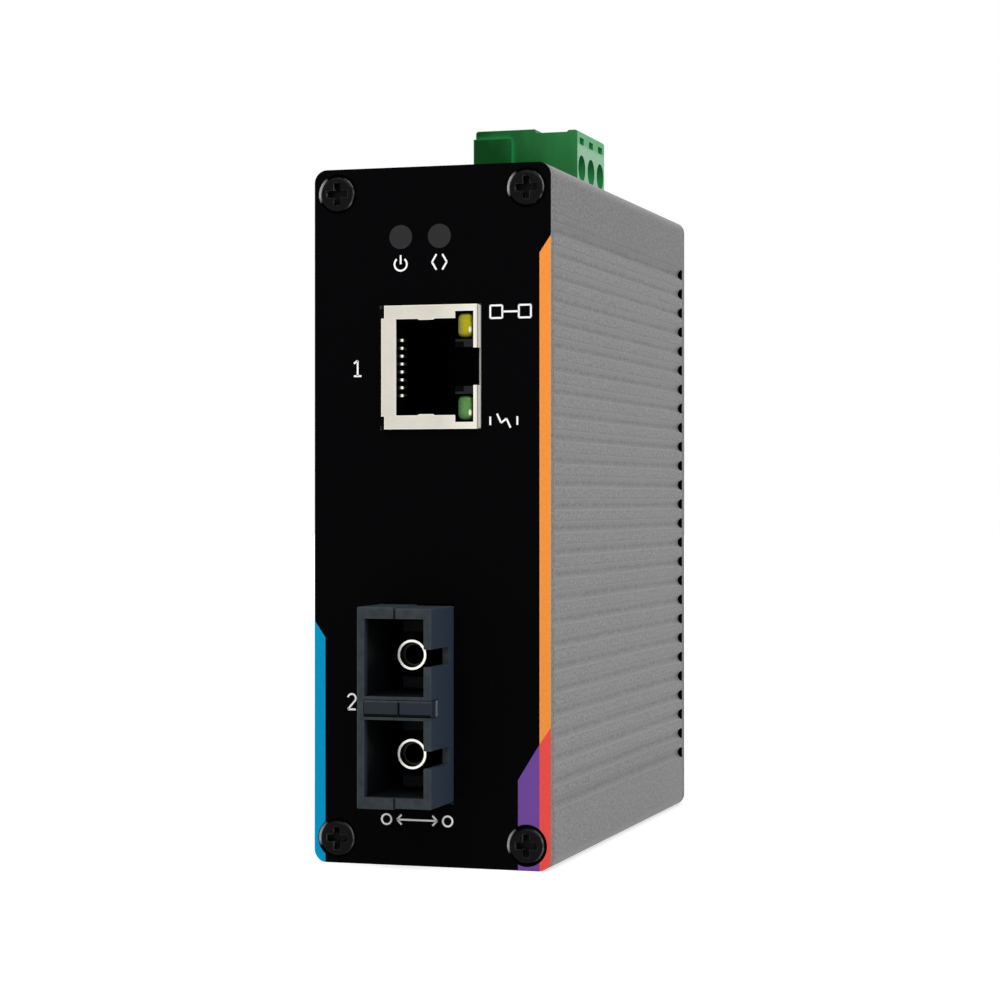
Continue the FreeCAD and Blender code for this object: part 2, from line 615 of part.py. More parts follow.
def front_plate():
    body = plate("front_plate", FRONT, SLEEVE_FRONT, True)
    ends = (FRONT, SLEEVE_FRONT)
    cut(body, "xz", *ends, rect(f"{BOARD} - fit_gap", f"{JACK_TOP} + fit_gap",
                                f"{JACK_Z} - jack_wide / 2 - fit_gap",
                                f"{JACK_Z} + jack_wide / 2 + fit_gap"))
    cut(body, "xz", *ends, rect(f"{BOARD} - fit_gap", f"{SHELL_RIGHT} + fit_gap",
                                f"{SHELL_LOW} - fit_gap", f"{SHELL_HIGH} + fit_gap"))
    first = f"({BOARD} + lamp_rise)"
    cut(body, "xz", *ends, disc(first, LAMP_Z, "window_radius"),
        disc(f"{first} + lamp_pitch", LAMP_Z, "window_radius"))


def rear_plate():
    body = plate("rear_plate", REAR, SLEEVE_REAR, False)
    upper = "(bracket_screw_low + bracket_screw_pitch)"
    cut(body, "xz", SLEEVE_REAR, REAR, disc("0", "bracket_screw_low", "bracket_screw + screw_gap"),
        disc("0", upper, "bracket_screw + screw_gap"))


def countersunk(body, face, sign, across, up, radius, head, length, sink, crown):
    """One countersunk screw along Y with its cross recess; sign points into the hole."""
    def at(depth):
        return f"{face} + {sign} * ({depth})"

    top = f"{sink} - {crown}"
    cone_start = f"{sink} + head_edge"
    cone_end = f"{cone_start} + {head} - {radius}"
    tip = f"{sink} + {length}"
    shank = turn(body, "y", (across, up), [
        (at(top), "0"), (at(top), head), (at(cone_start), head),
        (at(cone_end), radius), (at(tip), radius), (at(tip), "0")])
    levels = (at(top), at(f"{top} + cross_deep"))
    start, end = levels if sign == "1" else levels[::-1]
    recess = cut(body, "xz", start, end, cross(across, up, "cross_arm", "cross_half"))
    return [shank, recess]


def plate_screws(label, face, sign):
    """Four screws with raised, rounded heads."""
    body = new_body(label)
    features = countersunk(body, face, sign, f"-{SCREW_X}", "screw_inset", "screw_radius",
                           "head_radius", "screw_long", HEAD_FACE, "head_crown")
    repeat(body, features, adds=True, x=(SCREW_PITCH_X, "2"), z=(SCREW_PITCH_Z, "2"))
    top = f"{face} + {sign} * ({HEAD_FACE} - head_crown)"
    dress(body, "Fillet", "head_round",
          lambda edge: isinstance(edge.Curve, Part.Circle) and lies_at(edge, "y", top))


def printed_field(label, corners):
    """Thin colour field: the plate's outline, kept only inside the corners given."""
    body = new_body(label)
    ends = (f"{FRONT} - ink_thick", FRONT)
    add(body, "xz", *ends, rect(f"-{SIDE}", SIDE, "0", "body_height"))
    dress(body, "Fillet", "corner_radius", plate_corners)
    around = rect("-body_width", "body_width", "-body_height", "2 * body_height")
    cut(body, "xz", *ends, around, corners)
    return body


def printed_fields():
    """Stripes along both edges of the front, with slanted ends, and the purple field."""
    inner = f"({SIDE} - stripe_wide)"
    outer = f"({SIDE} + over_cut)"
    below = "(-over_cut)"
    slant = "(stripe_slant / stripe_wide * (stripe_wide + over_cut))"
    printed_field("print_orange", [
        (inner, "orange_low"), (outer, f"orange_low + {slant}"),
        (outer, f"{ORANGE_HIGH} + {slant}"), (inner, ORANGE_HIGH)])
    red = printed_field("print_red", [
        (inner, below), (outer, below), (outer, f"orange_low + {slant}"), (inner, "orange_low")])
    purple = printed_field("print_purple", [
        (f"{inner} - purple_wide", below), (inner, below), (inner, "orange_low"),
        (f"{inner} - purple_wide", "orange_low - purple_slant")])
    blue = printed_field("print_blue", [
        (f"-{outer}", below), (f"-{inner}", below), (f"-{inner}", "blue_high"),
        (f"-{outer}", f"blue_high + {slant}")])
    ends = (f"{FRONT} - ink_thick", FRONT)
    for body, side in ((red, "1"), (purple, "1"), (blue, "-1")):
        cut(body, "xz", *ends, disc(f"{side} * {SCREW_X}", "screw_inset", "sink_radius + fit_gap"))


# ---------------------------------------------------------------- board and what it carries

def main_board():
    """Board that slides into the sleeve's slots, component side towards +X."""
    body = new_body("main_board")
    rim = "slot_depth - board_gap"
    add(body, "yz", BOARD_BACK, BOARD,
        rect(f"{SLEEVE_FRONT} + board_end_gap", f"{SLEEVE_REAR} - board_end_gap",
             f"end_wall - ({rim})", f"{CEILING} + {rim}"))
    lowest = "port_height - (pin_count - 1) / 2 * pin_pitch"
    row = cut(body, "yz", BOARD_BACK, BOARD, disc(f"{SHELL_BACK} - pin_pitch", lowest, "pin_wide"))
    repeat(body, [row], adds=False, z=("pin_pitch", "pin_count"))
    bend = f"{HEADER_LOW} - pin_square"
    poles = cut(body, "yz", BOARD_BACK, BOARD, disc(FIRST_POLE, bend, "pin_square"))
    repeat(body, [poles], adds=False, y=("pole_pitch", "pole_count"))


def board_block(label, rise, start, length, low, height, bevel):
    """Moulded component on the board with bevelled upper edges."""
    body = new_body(label)
    add(body, "yz", BOARD, f"{BOARD} + {rise}",
        rect(start, f"{start} + {length}", low, f"{low} + {height}"))
    dress(body, "Chamfer", bevel, lambda edge: lies_at(edge, "x", f"{BOARD} + {rise}"))


def board_parts():
    """Network transformer behind the jack, chips, crystal, inductor and capacitors."""
    behind_jack = f"({JACK_BACK} + part_space)"
    board_block("network_transformer", "transformer_rise", behind_jack, "transformer_long",
                f"({JACK_Z} - transformer_tall / 2)", "transformer_tall", "2 * part_bevel")
    controller = f"({behind_jack} + transformer_long + part_space)"
    board_block("controller_chip", "controller_rise", controller, "controller_side",
                SHELL_HIGH, "controller_side", "part_bevel")
    board_block("clock_crystal", "crystal_rise", f"({SHELL_BACK} + part_space)", "crystal_long",
                f"({SHELL_HIGH} - part_space - crystal_tall)", "crystal_tall", "2 * part_bevel")
    power = f"({controller} + controller_side + part_space / 2)"
    chip_low = f"({SHELL_HIGH} + controller_side)"
    board_block("power_chip", "power_chip_rise", power, "power_chip_side", chip_low,
                "power_chip_side", "part_bevel")
    inductor_low = f"({chip_low} - 2 * part_space - inductor_side)"
    board_block("power_inductor", "inductor_rise", power, "inductor_side", inductor_low,
                "inductor_side", "6 * part_bevel")

    body = new_body("capacitors")
    pitch = "(2 * capacitor_radius + part_space / 4)"
    first = f"({inductor_low} - part_space / 2 - capacitor_radius - {pitch})"
    neck = f"{BOARD} + capacitor_neck"
    top = f"{BOARD} + capacitor_rise"
    can = turn(body, "x", (f"{power} + inductor_side / 2", first), [
        (BOARD, "0"), (BOARD, "capacitor_radius"), (f"{neck} - capacitor_crimp", "capacitor_radius"),
        (neck, "capacitor_radius - capacitor_crimp"), (f"{neck} + capacitor_crimp", "capacitor_radius"),
        (f"{top} - capacitor_crimp", "capacitor_radius"), (top, "capacitor_radius - capacitor_crimp"),
        (top, "0")])
    repeat(body, [can], adds=True, z=(pitch, "2"))


def status_lamps():
    """Lamp holder with two lamps side by side, and the round windows in the plate."""
    first = f"({BOARD} + lamp_rise)"
    second = f"({first} + lamp_pitch)"
    holder_front = f"({SLEEVE_FRONT} + board_end_gap)"
    holder_back = f"({holder_front} + holder_deep)"
    bore_end = f"({holder_back} - holder_floor)"
    body = new_body("lamp_holder")
    add(body, "xz", holder_front, holder_back,
        rect(BOARD, f"{second} + holder_wide / 2", f"{LAMP_Z} - holder_wide / 2",
             f"{LAMP_Z} + holder_wide / 2"))
    cut(body, "xz", holder_front, bore_end, disc(first, LAMP_Z, "lamp_radius + fit_gap"),
        disc(second, LAMP_Z, "lamp_radius + fit_gap"))

    window_back = f"({FRONT} + window_thick)"
    tip = f"{window_back} + fit_gap"
    body = new_body("status_lamps")
    lamp = turn(body, "y", (first, LAMP_Z), [
        (tip, "0"), (tip, "lamp_radius / 2"), (f"{window_back} + lamp_radius / 2", "lamp_radius"),
        (bore_end, "lamp_radius"), (bore_end, "0")])
    repeat(body, [lamp], adds=True, x=("lamp_pitch", "2"))
    body = new_body("lamp_windows")
    window = add(body, "xz", FRONT, window_back, disc(first, LAMP_Z, "window_radius"))
    repeat(body, [window], adds=True, x=("lamp_pitch", "2"))


# ---------------------------------------------------------------- copper jack

def jack_span(left, right, half):
    """Rectangle from left to right, as far below the jack's centre as above it."""
    return rect(left, right, f"{JACK_Z} - ({half})", f"{JACK_Z} + ({half})")


def jack_sides(left, right, inner, outer):
    """Two rectangles, one on each side of the jack's centre."""
    return (rect(left, right, f"{JACK_Z} + ({inner})", f"{JACK_Z} + ({outer})"),
            rect(left, right, f"{JACK_Z} - ({outer})", f"{JACK_Z} - ({inner})"))


def jack_mouth(top):
    """Stepped opening of the jack: plug way, lamp pockets beside it, latch way above."""
    half = "mouth_wide / 2"
    tab = f"({MOUTH_LOW} + tab_start)"
    corners = [(MOUTH_LOW, half), (tab, half), (f"{tab} + tab_deep", f"{half} - tab_deep"),
               (f"{tab} + tab_wide - tab_deep", f"{half} - tab_deep"), (f"{tab} + tab_wide", half),
               (MOUTH_TOP, half), (MOUTH_TOP, POCKET_OUT), (POCKET_TOP, POCKET_OUT),
               (POCKET_TOP, "latch_notch_wide / 2"), (top, "latch_notch_wide / 2")]
    lower = [(x, f"{JACK_Z} - ({z})") for x, z in corners]
    upper = [(x, f"{JACK_Z} + ({z})") for x, z in reversed(corners)]
    return lower + upper


def jack_shield():
    """Folded sheet can, open towards the board, with the stepped opening in its face."""
    body = new_body("jack_shield")
    face_back = f"({JACK_FRONT} + shield_thick)"
    add(body, "xz", JACK_FRONT, JACK_BACK, jack_span(BOARD, JACK_TOP, "jack_wide / 2"))
    dress(body, "Fillet", "shield_thick",
          lambda edge: lies_at(edge, "x", JACK_TOP) and not lies_at(edge, "y", JACK_FRONT))
    cut(body, "xz", face_back, f"{JACK_BACK} - shield_thick",
        jack_span(f"{BOARD} - over_cut", f"{JACK_TOP} - shield_thick", "jack_wide / 2 - shield_thick"))
    cut(body, "xz", f"{JACK_FRONT} - over_cut", face_back, jack_mouth(f"({JACK_TOP} + over_cut)"))
    cut(body, "xz", JACK_FRONT, f"{JACK_FRONT} + latch_notch_deep",
        jack_span(f"{JACK_TOP} - 2 * shield_thick", f"{JACK_TOP} + over_cut", "latch_notch_wide / 2"))
    board_edge = f"({SLEEVE_FRONT} + board_end_gap)"
    foot = f"({BOARD} + shield_lift)"
    cut(body, "xz", JACK_FRONT, board_edge, jack_span(f"{BOARD} - over_cut", foot, "jack_wide"))
    cut(body, "xz", JACK_FRONT, board_edge,
        *jack_sides(f"{BOARD} - over_cut", f"{foot} + shield_step", "foot_wide / 2", "jack_wide"))


def jack_insert():
    """Moulded body of the jack: plug cavity, latch way, lamp pockets and contact combs."""
    body = new_body("jack_insert")
    front = f"({JACK_FRONT} + shield_thick)"
    top = f"({JACK_TOP} - shield_thick - fit_gap)"
    add(body, "xz", front, f"{JACK_BACK} - shield_thick - fit_gap",
        jack_span(BOARD, top, "jack_wide / 2 - shield_thick - fit_gap"))
    rear = f"({JACK_FRONT} + mouth_deep)"
    cut(body, "xz", front, rear, jack_span(MOUTH_LOW, MOUTH_TOP, "mouth_wide / 2 - fit_gap"))
    cut(body, "xz", front, rear, jack_span(MOUTH_TOP, POCKET_TOP, "latch_way_wide / 2"))
    cut(body, "xz", front, f"{front} + pocket_deep",
        *jack_sides(MOUTH_TOP, POCKET_TOP, POCKET_IN, POCKET_OUT))
    cut(body, "xz", front, f"{JACK_FRONT} + latch_notch_deep",
        jack_span(POCKET_TOP, top, "latch_notch_wide / 2"))

    sides = (f"{FIRST_CONTACT} - contact_wide / 2 - fit_gap", f"{FIRST_CONTACT} + contact_wide / 2 + fit_gap")
    wire_x = f"({MOUTH_LOW} + contact_rise)"
    comb = cut(body, "xz", rear, f"{rear} + comb_deep",
               rect(f"{wire_x} - 2 * contact_thick - fit_gap", f"{wire_x} + 2 * fit_gap", *sides))
    start = f"({JACK_FRONT} + contact_start)"
    floor = cut(body, "xz", f"{start} - contact_nose - fit_gap", f"{start} + contact_foot + fit_gap",
                rect(f"{MOUTH_LOW} - contact_sunk - fit_gap", MOUTH_LOW, *sides))
    repeat(body, [comb, floor], adds=False, z=("contact_pitch", "contact_count"))


def jack_contacts():
    """Sprung contact wires: out of the floor at the front, rising to the comb at the rear."""
    body = new_body("jack_contacts")
    start = f"({JACK_FRONT} + contact_start)"
    foot_end = f"({start} + contact_foot)"
    end = f"({JACK_FRONT} + mouth_deep + comb_deep / 2)"
    bend = f"({end} - contact_tail)"
    low = f"({MOUTH_LOW} - contact_sunk)"
    high = f"({MOUTH_LOW} + contact_rise)"
    under = f"({high} - contact_thick)"
    wire = add(body, "xy", f"{FIRST_CONTACT} - contact_wide / 2", f"{FIRST_CONTACT} + contact_wide / 2", [
        (low, foot_end), (low, start), (f"{low} + contact_sunk", f"{start} - contact_nose"),
        (f"{low} + 3 * contact_thick", start), (high, bend), (high, end), (under, end), (under, bend),
        (f"{low} + 2 * contact_thick", f"{start} + 2 * contact_nose"),
        (f"{low} + contact_thick", f"{start} + contact_nose"), (f"{low} + contact_thick", foot_end)])
    repeat(body, [wire], adds=True, z=("contact_pitch", "contact_count"))


def jack_lamps():
    """Two lamps with rounded faces, each loose in its pocket."""
    front = f"({JACK_FRONT} + jack_lamp_sunk)"
    back = f"({JACK_FRONT} + shield_thick + pocket_deep - fit_gap)"
    blocks = jack_sides(f"{MOUTH_TOP} + jack_lamp_gap", f"{POCKET_TOP} - jack_lamp_gap",
                        f"{POCKET_IN} + jack_lamp_gap", f"{POCKET_OUT} - jack_lamp_gap")
    for label, block in zip(("jack_lamp_yellow", "jack_lamp_green"), blocks):
        body = new_body(label)
        add(body, "xz", front, back, block)
        dress(body, "Fillet", "jack_lamp_corner",
              lambda edge: not lies_at(edge, "y", front) and not lies_at(edge, "y", back))
        dress(body, "Fillet", "jack_lamp_round", lambda edge: lies_at(edge, "y", front))


# ---------------------------------------------------------------- fibre port

def shell_half(label, left, right, trim, inner, bar):
    """One half of the transceiver case with the ports, the block seat and the rear chamber."""
    body = new_body(label)
    low, high = f"{SHELL_LOW} + {trim}", f"{SHELL_HIGH} - {trim}"
    add(body, "xz", SHELL_FRONT, SHELL_BACK, rect(left, right, low, high))
    dress(body, "Chamfer", "shell_chamfer", lambda edge: not lies_at(edge, "y", SHELL_BACK))
    ahead = f"{SHELL_FRONT} - over_cut"
    features = [cut(body, "xz", ahead, BLOCK_FRONT,
                    rect(*inner, f"{LOWER_PORT} - port_wide / 2", f"{LOWER_PORT} + port_wide / 2"))]
    if label == "transceiver_cover":
        features.append(cut(body, "xz", ahead, f"{SHELL_FRONT} + key_long",
                            rect(f"{PORT_RIGHT} - fit_gap", f"{SHELL_RIGHT} + over_cut",
                                 f"{LOWER_PORT} - key_wide / 2", f"{LOWER_PORT} + key_wide / 2")))
    repeat(body, features, adds=False, z=("port_pitch", "2"))
    cut(body, "xz", BLOCK_FRONT, f"{SHELL_BACK} - block_thick", rect(*inner, *PORT_SPAN))
    half = "(bar_tall / 2 + fit_gap)"
    cut(body, "xz", ahead, f"{SHELL_FRONT} + bar_long + fit_gap",
        rect(*bar, f"port_height - {half}", f"port_height + {half}"))


def transceiver_case():
    """Base half on the board and the slightly lower cover half beside it."""
    seam_left, seam_right = f"({PORT_X} - over_cut)", f"({PORT_X} + over_cut)"
    shell_half("transceiver_base", BOARD, PORT_X, "0", (PORT_LEFT, seam_right),
               (f"{PORT_LEFT} - fit_gap", seam_right))
    shell_half("transceiver_cover", PORT_X, SHELL_RIGHT, "shell_step", (seam_left, PORT_RIGHT),
               (seam_left, f"{SHELL_RIGHT} + over_cut"))


def middle_bar():
    """Bar let into the web between the two ports."""
    body = new_body("middle_bar")
    front = f"({SHELL_FRONT} - bar_proud)"
    add(body, "xz", front, f"{SHELL_FRONT} + bar_long",
        rect(PORT_LEFT, f"{SHELL_RIGHT} + bar_proud", "port_height - bar_tall / 2",
             "port_height + bar_tall / 2"))
    dress(body, "Chamfer", "bar_proud / 2", lambda edge: lies_at(edge, "y", front))
    seam = f"{PORT_X} + bar_seam_right"
    cut(body, "xz", front, f"{front} + bar_seam",
        rect(f"{seam} - bar_seam / 2", f"{seam} + bar_seam / 2", "port_height - bar_tall / 2 - over_cut",
             "port_height + bar_tall / 2 + over_cut"))


def latch_block():
    """Plate across the bottom of both ports with two sprung hooks in each."""
    body = new_body("latch_block")
    low, high = PORT_SPAN
    add(body, "xz", BLOCK_FRONT, BLOCK_BACK,
        rect(f"{PORT_LEFT} + fit_gap", f"{PORT_RIGHT} - fit_gap", f"{low} + fit_gap", f"{high} - fit_gap"))
    far = "(port_wide / 2 - hook_tip)"
    near = f"({far} - hook_thick)"
    tip = f"({BLOCK_FRONT} - hook_long)"
    arms = []
    for side in ("-1", "1"):
        inner = f"{LOWER_PORT} + {side} * {near}"
        outer = f"{LOWER_PORT} + {side} * {far}"
        arms.append([(tip, f"{LOWER_PORT} + {side} * ({near} - hook_tip)"), (f"{tip} + hook_tip * 2", inner),
                     (BLOCK_FRONT, inner), (BLOCK_FRONT, outer), (tip, outer)])
    hooks = add(body, "yz", f"{PORT_X} - hook_wide / 2", f"{PORT_X} + hook_wide / 2", *arms)
    repeat(body, [hooks], adds=True, z=("port_pitch", "2"))
    for centre in (LOWER_PORT, f"{LOWER_PORT} + port_pitch"):
        cut(body, "xz", f"{BLOCK_FRONT} - over_cut", BLOCK_BACK,
            disc(PORT_X, centre, "barrel_radius + fit_gap"))


def barrels():
    """Metal barrels through the latch block, each with the optical can behind it."""
    body = new_body("fibre_barrels")
    can_front = f"({BLOCK_BACK} + fit_gap)"
    can_back = f"({can_front} + can_long)"
    floor = f"({BLOCK_BACK} + barrel_floor)"
    barrel = turn(body, "y", (PORT_X, LOWER_PORT), [
        (BARREL_MOUTH, "barrel_bore"), (BARREL_MOUTH, "barrel_radius"), (can_front, "barrel_radius"),
        (can_front, "can_radius"), (can_back, "can_radius"), (can_back, "0"), (floor, "0"),
        (floor, "barrel_bore")])
    repeat(body, [barrel], adds=True, z=("port_pitch", "2"))

    body = new_body("ceramic_sleeves")
    start = f"({BARREL_MOUTH} + sleeve_back)"
    end = f"({start} + sleeve_long)"
    tube = turn(body, "y", (PORT_X, LOWER_PORT), [
        (start, "sleeve_bore"), (start, "barrel_bore - thread_gap"),
        (end, "barrel_bore - thread_gap"), (end, "sleeve_bore")])
    slit = cut(body, "xz", start, end,
               rect(PORT_X, f"{PORT_X} + 2 * barrel_bore", f"{LOWER_PORT} - sleeve_slit / 2",
                    f"{LOWER_PORT} + sleeve_slit / 2"))
    repeat(body, [tube, slit], adds=True, z=("port_pitch", "2"))


def transceiver_pins():
    body = new_body("transceiver_pins")
    row = f"({SHELL_BACK} - pin_pitch)"
    first = "(port_height - (pin_count - 1) / 2 * pin_pitch)"
    half = "pin_wide / 2"
    pin = add(body, "yz", f"{BOARD_BACK} - pin_out", BOARD,
              rect(f"{row} - {half}", f"{row} + {half}", f"{first} - {half}", f"{first} + {half}"))
    repeat(body, [pin], adds=True, z=("pin_pitch", "pin_count"))


# ---------------------------------------------------------------- power terminal

def terminal_header():
    """Right-angle header on the board, open towards the top wall."""
    body = new_body("terminal_header")
    half = f"({PLUG_HALF} + header_wall)"
    add(body, "xy", HEADER_LOW, HEADER_TOP,
        rect(BOARD, f"{BOARD} + header_tall", f"{TERMINAL_Y} - {half}", f"{TERMINAL_Y} + {half}"))
    cut(body, "xy", HEADER_INNER, HEADER_TOP,
        rect(f"{BOARD} + header_wall", f"{BOARD} + header_tall - header_wall",
             f"{TERMINAL_Y} - {PLUG_HALF}", f"{TERMINAL_Y} + {PLUG_HALF}"))
    half = "(pin_square / 2 + fit_gap)"
    sides = (f"{FIRST_POLE} - {half}", f"{FIRST_POLE} + {half}")
    hole = cut(body, "xy", HEADER_LOW, HEADER_INNER, rect(f"{PIN_X} - {half}", f"{PIN_X} + {half}", *sides))
    repeat(body, [hole], adds=False, y=("pole_pitch", "pole_count"))


def header_pins():
    """Bent square pins: up into the plug, and through the board behind the header."""
    body = new_body("header_pins")
    half = "(pin_square / 2)"
    bend = f"({HEADER_LOW} - pin_square)"
    left, right = f"{PIN_X} - {half}", f"{PIN_X} + {half}"
    solder_end, tip = f"{BOARD_BACK} - pin_out", f"{HEADER_INNER} + pin_reach"
    pin = add(body, "xz", f"{FIRST_POLE} - {half}", f"{FIRST_POLE} + {half}", [
        (solder_end, f"{bend} - {half}"), (right, f"{bend} - {half}"), (right, tip), (left, tip),
        (left, f"{bend} + {half}"), (solder_end, f"{bend} + {half}")])
    repeat(body, [pin], adds=True, y=("pole_pitch", "pole_count"))


def plug_housing():
    """Plug body: tongue, clamp chambers, wire entries, screw holes and test recesses."""
    body = new_body("plug_housing")
    front, back = f"({TERMINAL_Y} - {PLUG_HALF})", f"({TERMINAL_Y} + {PLUG_HALF})"
    tongue_left = f"({BOARD} + header_wall + tongue_gap)"
    tongue_right = f"({BOARD} + header_tall - header_wall - tongue_gap)"
    tongue_low = f"({PLUG_LOW} - tongue_long)"
    crown_end = f"({PLUG_LEFT} + crown_wide)"
    lip_start = f"({PLUG_FACE} - lip_wide)"
    add(body, "xz", f"{front} + tongue_gap", f"{back} - tongue_gap", [
        (tongue_left, tongue_low), (tongue_right, tongue_low), (tongue_right, PLUG_LOW),
        (PLUG_FACE, PLUG_LOW), (PLUG_FACE, f"{PLUG_TOP} - plug_bevel"),
        (f"{PLUG_FACE} - plug_bevel", PLUG_TOP), (lip_start, PLUG_TOP),
        (f"{lip_start} - lip_rise", f"{PLUG_TOP} - lip_rise"),
        (f"{crown_end} + lip_rise", f"{PLUG_TOP} - lip_rise"), (crown_end, PLUG_CROWN),
        (f"{PLUG_LEFT} + plug_bevel", PLUG_CROWN), (PLUG_LEFT, f"{PLUG_CROWN} - plug_bevel"),
        (PLUG_LEFT, PLUG_LOW), (tongue_left, PLUG_LOW)])
    add(body, "xz", f"{front} - end_pad", f"{front} + 2 * tongue_gap",
        rect(PLUG_LEFT, f"{PLUG_LEFT} + end_pad_wide", PLUG_LOW, f"{PLUG_TOP} - end_pad_drop"))
    near = {"x": f"{PLUG_LEFT} + end_pad_wide - fit_gap"}
    pad_face = {"x": f"{PLUG_LEFT} + end_pad_wide + fit_gap", "y": front}
    dress(body, "Fillet", "end_pad * 0.6", lambda edge: runs_along(edge, "z", near, pad_face))

    pocket_half = "(cage_wide / 2 + cage_gap)"
    cage_low, cage_high = f"{CLAMP_Z} - cage_tall / 2 - cage_gap", f"{CLAMP_Z} + cage_tall / 2 + cage_gap"
    sides = (f"{FIRST_POLE} - {pocket_half}", f"{FIRST_POLE} + {pocket_half}")
    chamber = cut(body, "xy", cage_low, cage_high,
                  rect(f"{CAGE_LEFT} - cage_gap", f"{NUT_RIGHT} + cage_travel + cage_gap", *sides))
    entry = cut(body, "xy", CLAMP_Z, f"{PLUG_CROWN} + over_cut",
                rect(f"{CAGE_LEFT} - cage_gap", BAR_RIGHT, *sides))
    neck = cut(body, "yz", f"{NUT_RIGHT} + cage_travel", CLAMP_HEAD_LOW,
               disc(FIRST_POLE, CLAMP_Z, "clamp_shank + screw_gap"))
    outside = f"{PLUG_FACE} + over_cut"
    hole = cut(body, "yz", f"{CLAMP_HEAD_LOW} - thread_gap", outside, disc(FIRST_POLE, CLAMP_Z, "clamp_hole"))
    half = "(test_wide / 2)"
    top = f"({PLUG_TOP} - test_drop)"
    test = cut(body, "yz", f"{PLUG_FACE} - test_deep", outside,
               rect(f"{FIRST_POLE} - {half}", f"{FIRST_POLE} + {half}", f"{top} - test_tall", top))
    half = "(bar_wide / 2 + fit_gap)"
    sides = (f"{FIRST_POLE} - {half}", f"{FIRST_POLE} + {half}")
    fork = "(pin_square / 2 + tine_thick + 2 * fit_gap)"
    slot = cut(body, "xy", tongue_low, cage_low, rect(f"{PIN_X} - {fork}", f"{PIN_X} + {fork}", *sides))
    repeat(body, [chamber, entry, neck, hole, test, slot], adds=False, y=("pole_pitch", "pole_count"))


def plug_contacts():
    """Contact bars in the clamp chambers, forked below to grip the header pins."""
    body = new_body("plug_contacts")
    grip = "(pin_square / 2 + fit_gap)"
    root = f"({CLAMP_Z} - cage_tall / 2 - bar_foot)"
    fork = f"({HEADER_INNER} + pin_reach + fork_gap)"
    tip = f"({PLUG_LOW} - tongue_long + fork_gap)"
    top = f"({CLAMP_Z} + cage_tall / 2)"
    half = "bar_wide / 2"
    bar = add(body, "xz", f"{FIRST_POLE} - {half}", f"{FIRST_POLE} + {half}", [
        (f"{PIN_X} - {grip} - tine_thick", tip), (f"{PIN_X} - {grip}", tip), (f"{PIN_X} - {grip}", fork),
        (f"{PIN_X} + {grip}", fork), (f"{PIN_X} + {grip}", tip), (f"{PIN_X} + {grip} + tine_thick", tip),
        (f"{PIN_X} + {grip} + tine_thick", root), (BAR_RIGHT, root), (BAR_RIGHT, top), (BAR_LEFT, top),
        (BAR_LEFT, root), (f"{PIN_X} - {grip} - tine_thick", root)])
    repeat(body, [bar], adds=True, y=("pole_pitch", "pole_count"))


def clamps():
    """For each pole a slotted screw, held in place, and the cage that it raises."""
    tip = f"({BAR_RIGHT} + fit_gap)"
    for number in range(int(value("pole_count"))):
        pole = f"({FIRST_POLE} + {number} * pole_pitch)"
        body = new_body(f"clamp_screw_{number + 1}")
        turn(body, "x", (pole, CLAMP_Z), [
            (tip, "0"), (tip, "clamp_shank"), (CLAMP_HEAD_LOW, "clamp_shank"), (CLAMP_HEAD_LOW, "clamp_head"),
            (CLAMP_HEAD_TOP, "clamp_head"), (CLAMP_HEAD_TOP, "0")])
        half = "(clamp_slot / 2)"
        cut(body, "yz", f"{CLAMP_HEAD_TOP} - clamp_head_tall / 2", f"{CLAMP_HEAD_TOP} + over_cut",
            rect(f"{pole} - {half}", f"{pole} + {half}", f"{CLAMP_Z} - 2 * clamp_head",
                 f"{CLAMP_Z} + 2 * clamp_head"))

        body = new_body(f"clamp_cage_{number + 1}")
        half = "(cage_wide / 2)"
        low, high = f"{CLAMP_Z} - cage_tall / 2", f"{CLAMP_Z} + cage_tall / 2"
        add(body, "xy", low, high, rect(CAGE_LEFT, NUT_RIGHT, f"{pole} - {half}", f"{pole} + {half}"))
        half = "(cage_wide / 2 - cage_wall)"
        cut(body, "xy", low, high, rect(CAGE_FLOOR, NUT_LEFT, f"{pole} - {half}", f"{pole} + {half}"))
        cut(body, "yz", NUT_LEFT, NUT_RIGHT, disc(pole, CLAMP_Z, "clamp_shank + thread_gap"))


# ---------------------------------------------------------------- rail clip

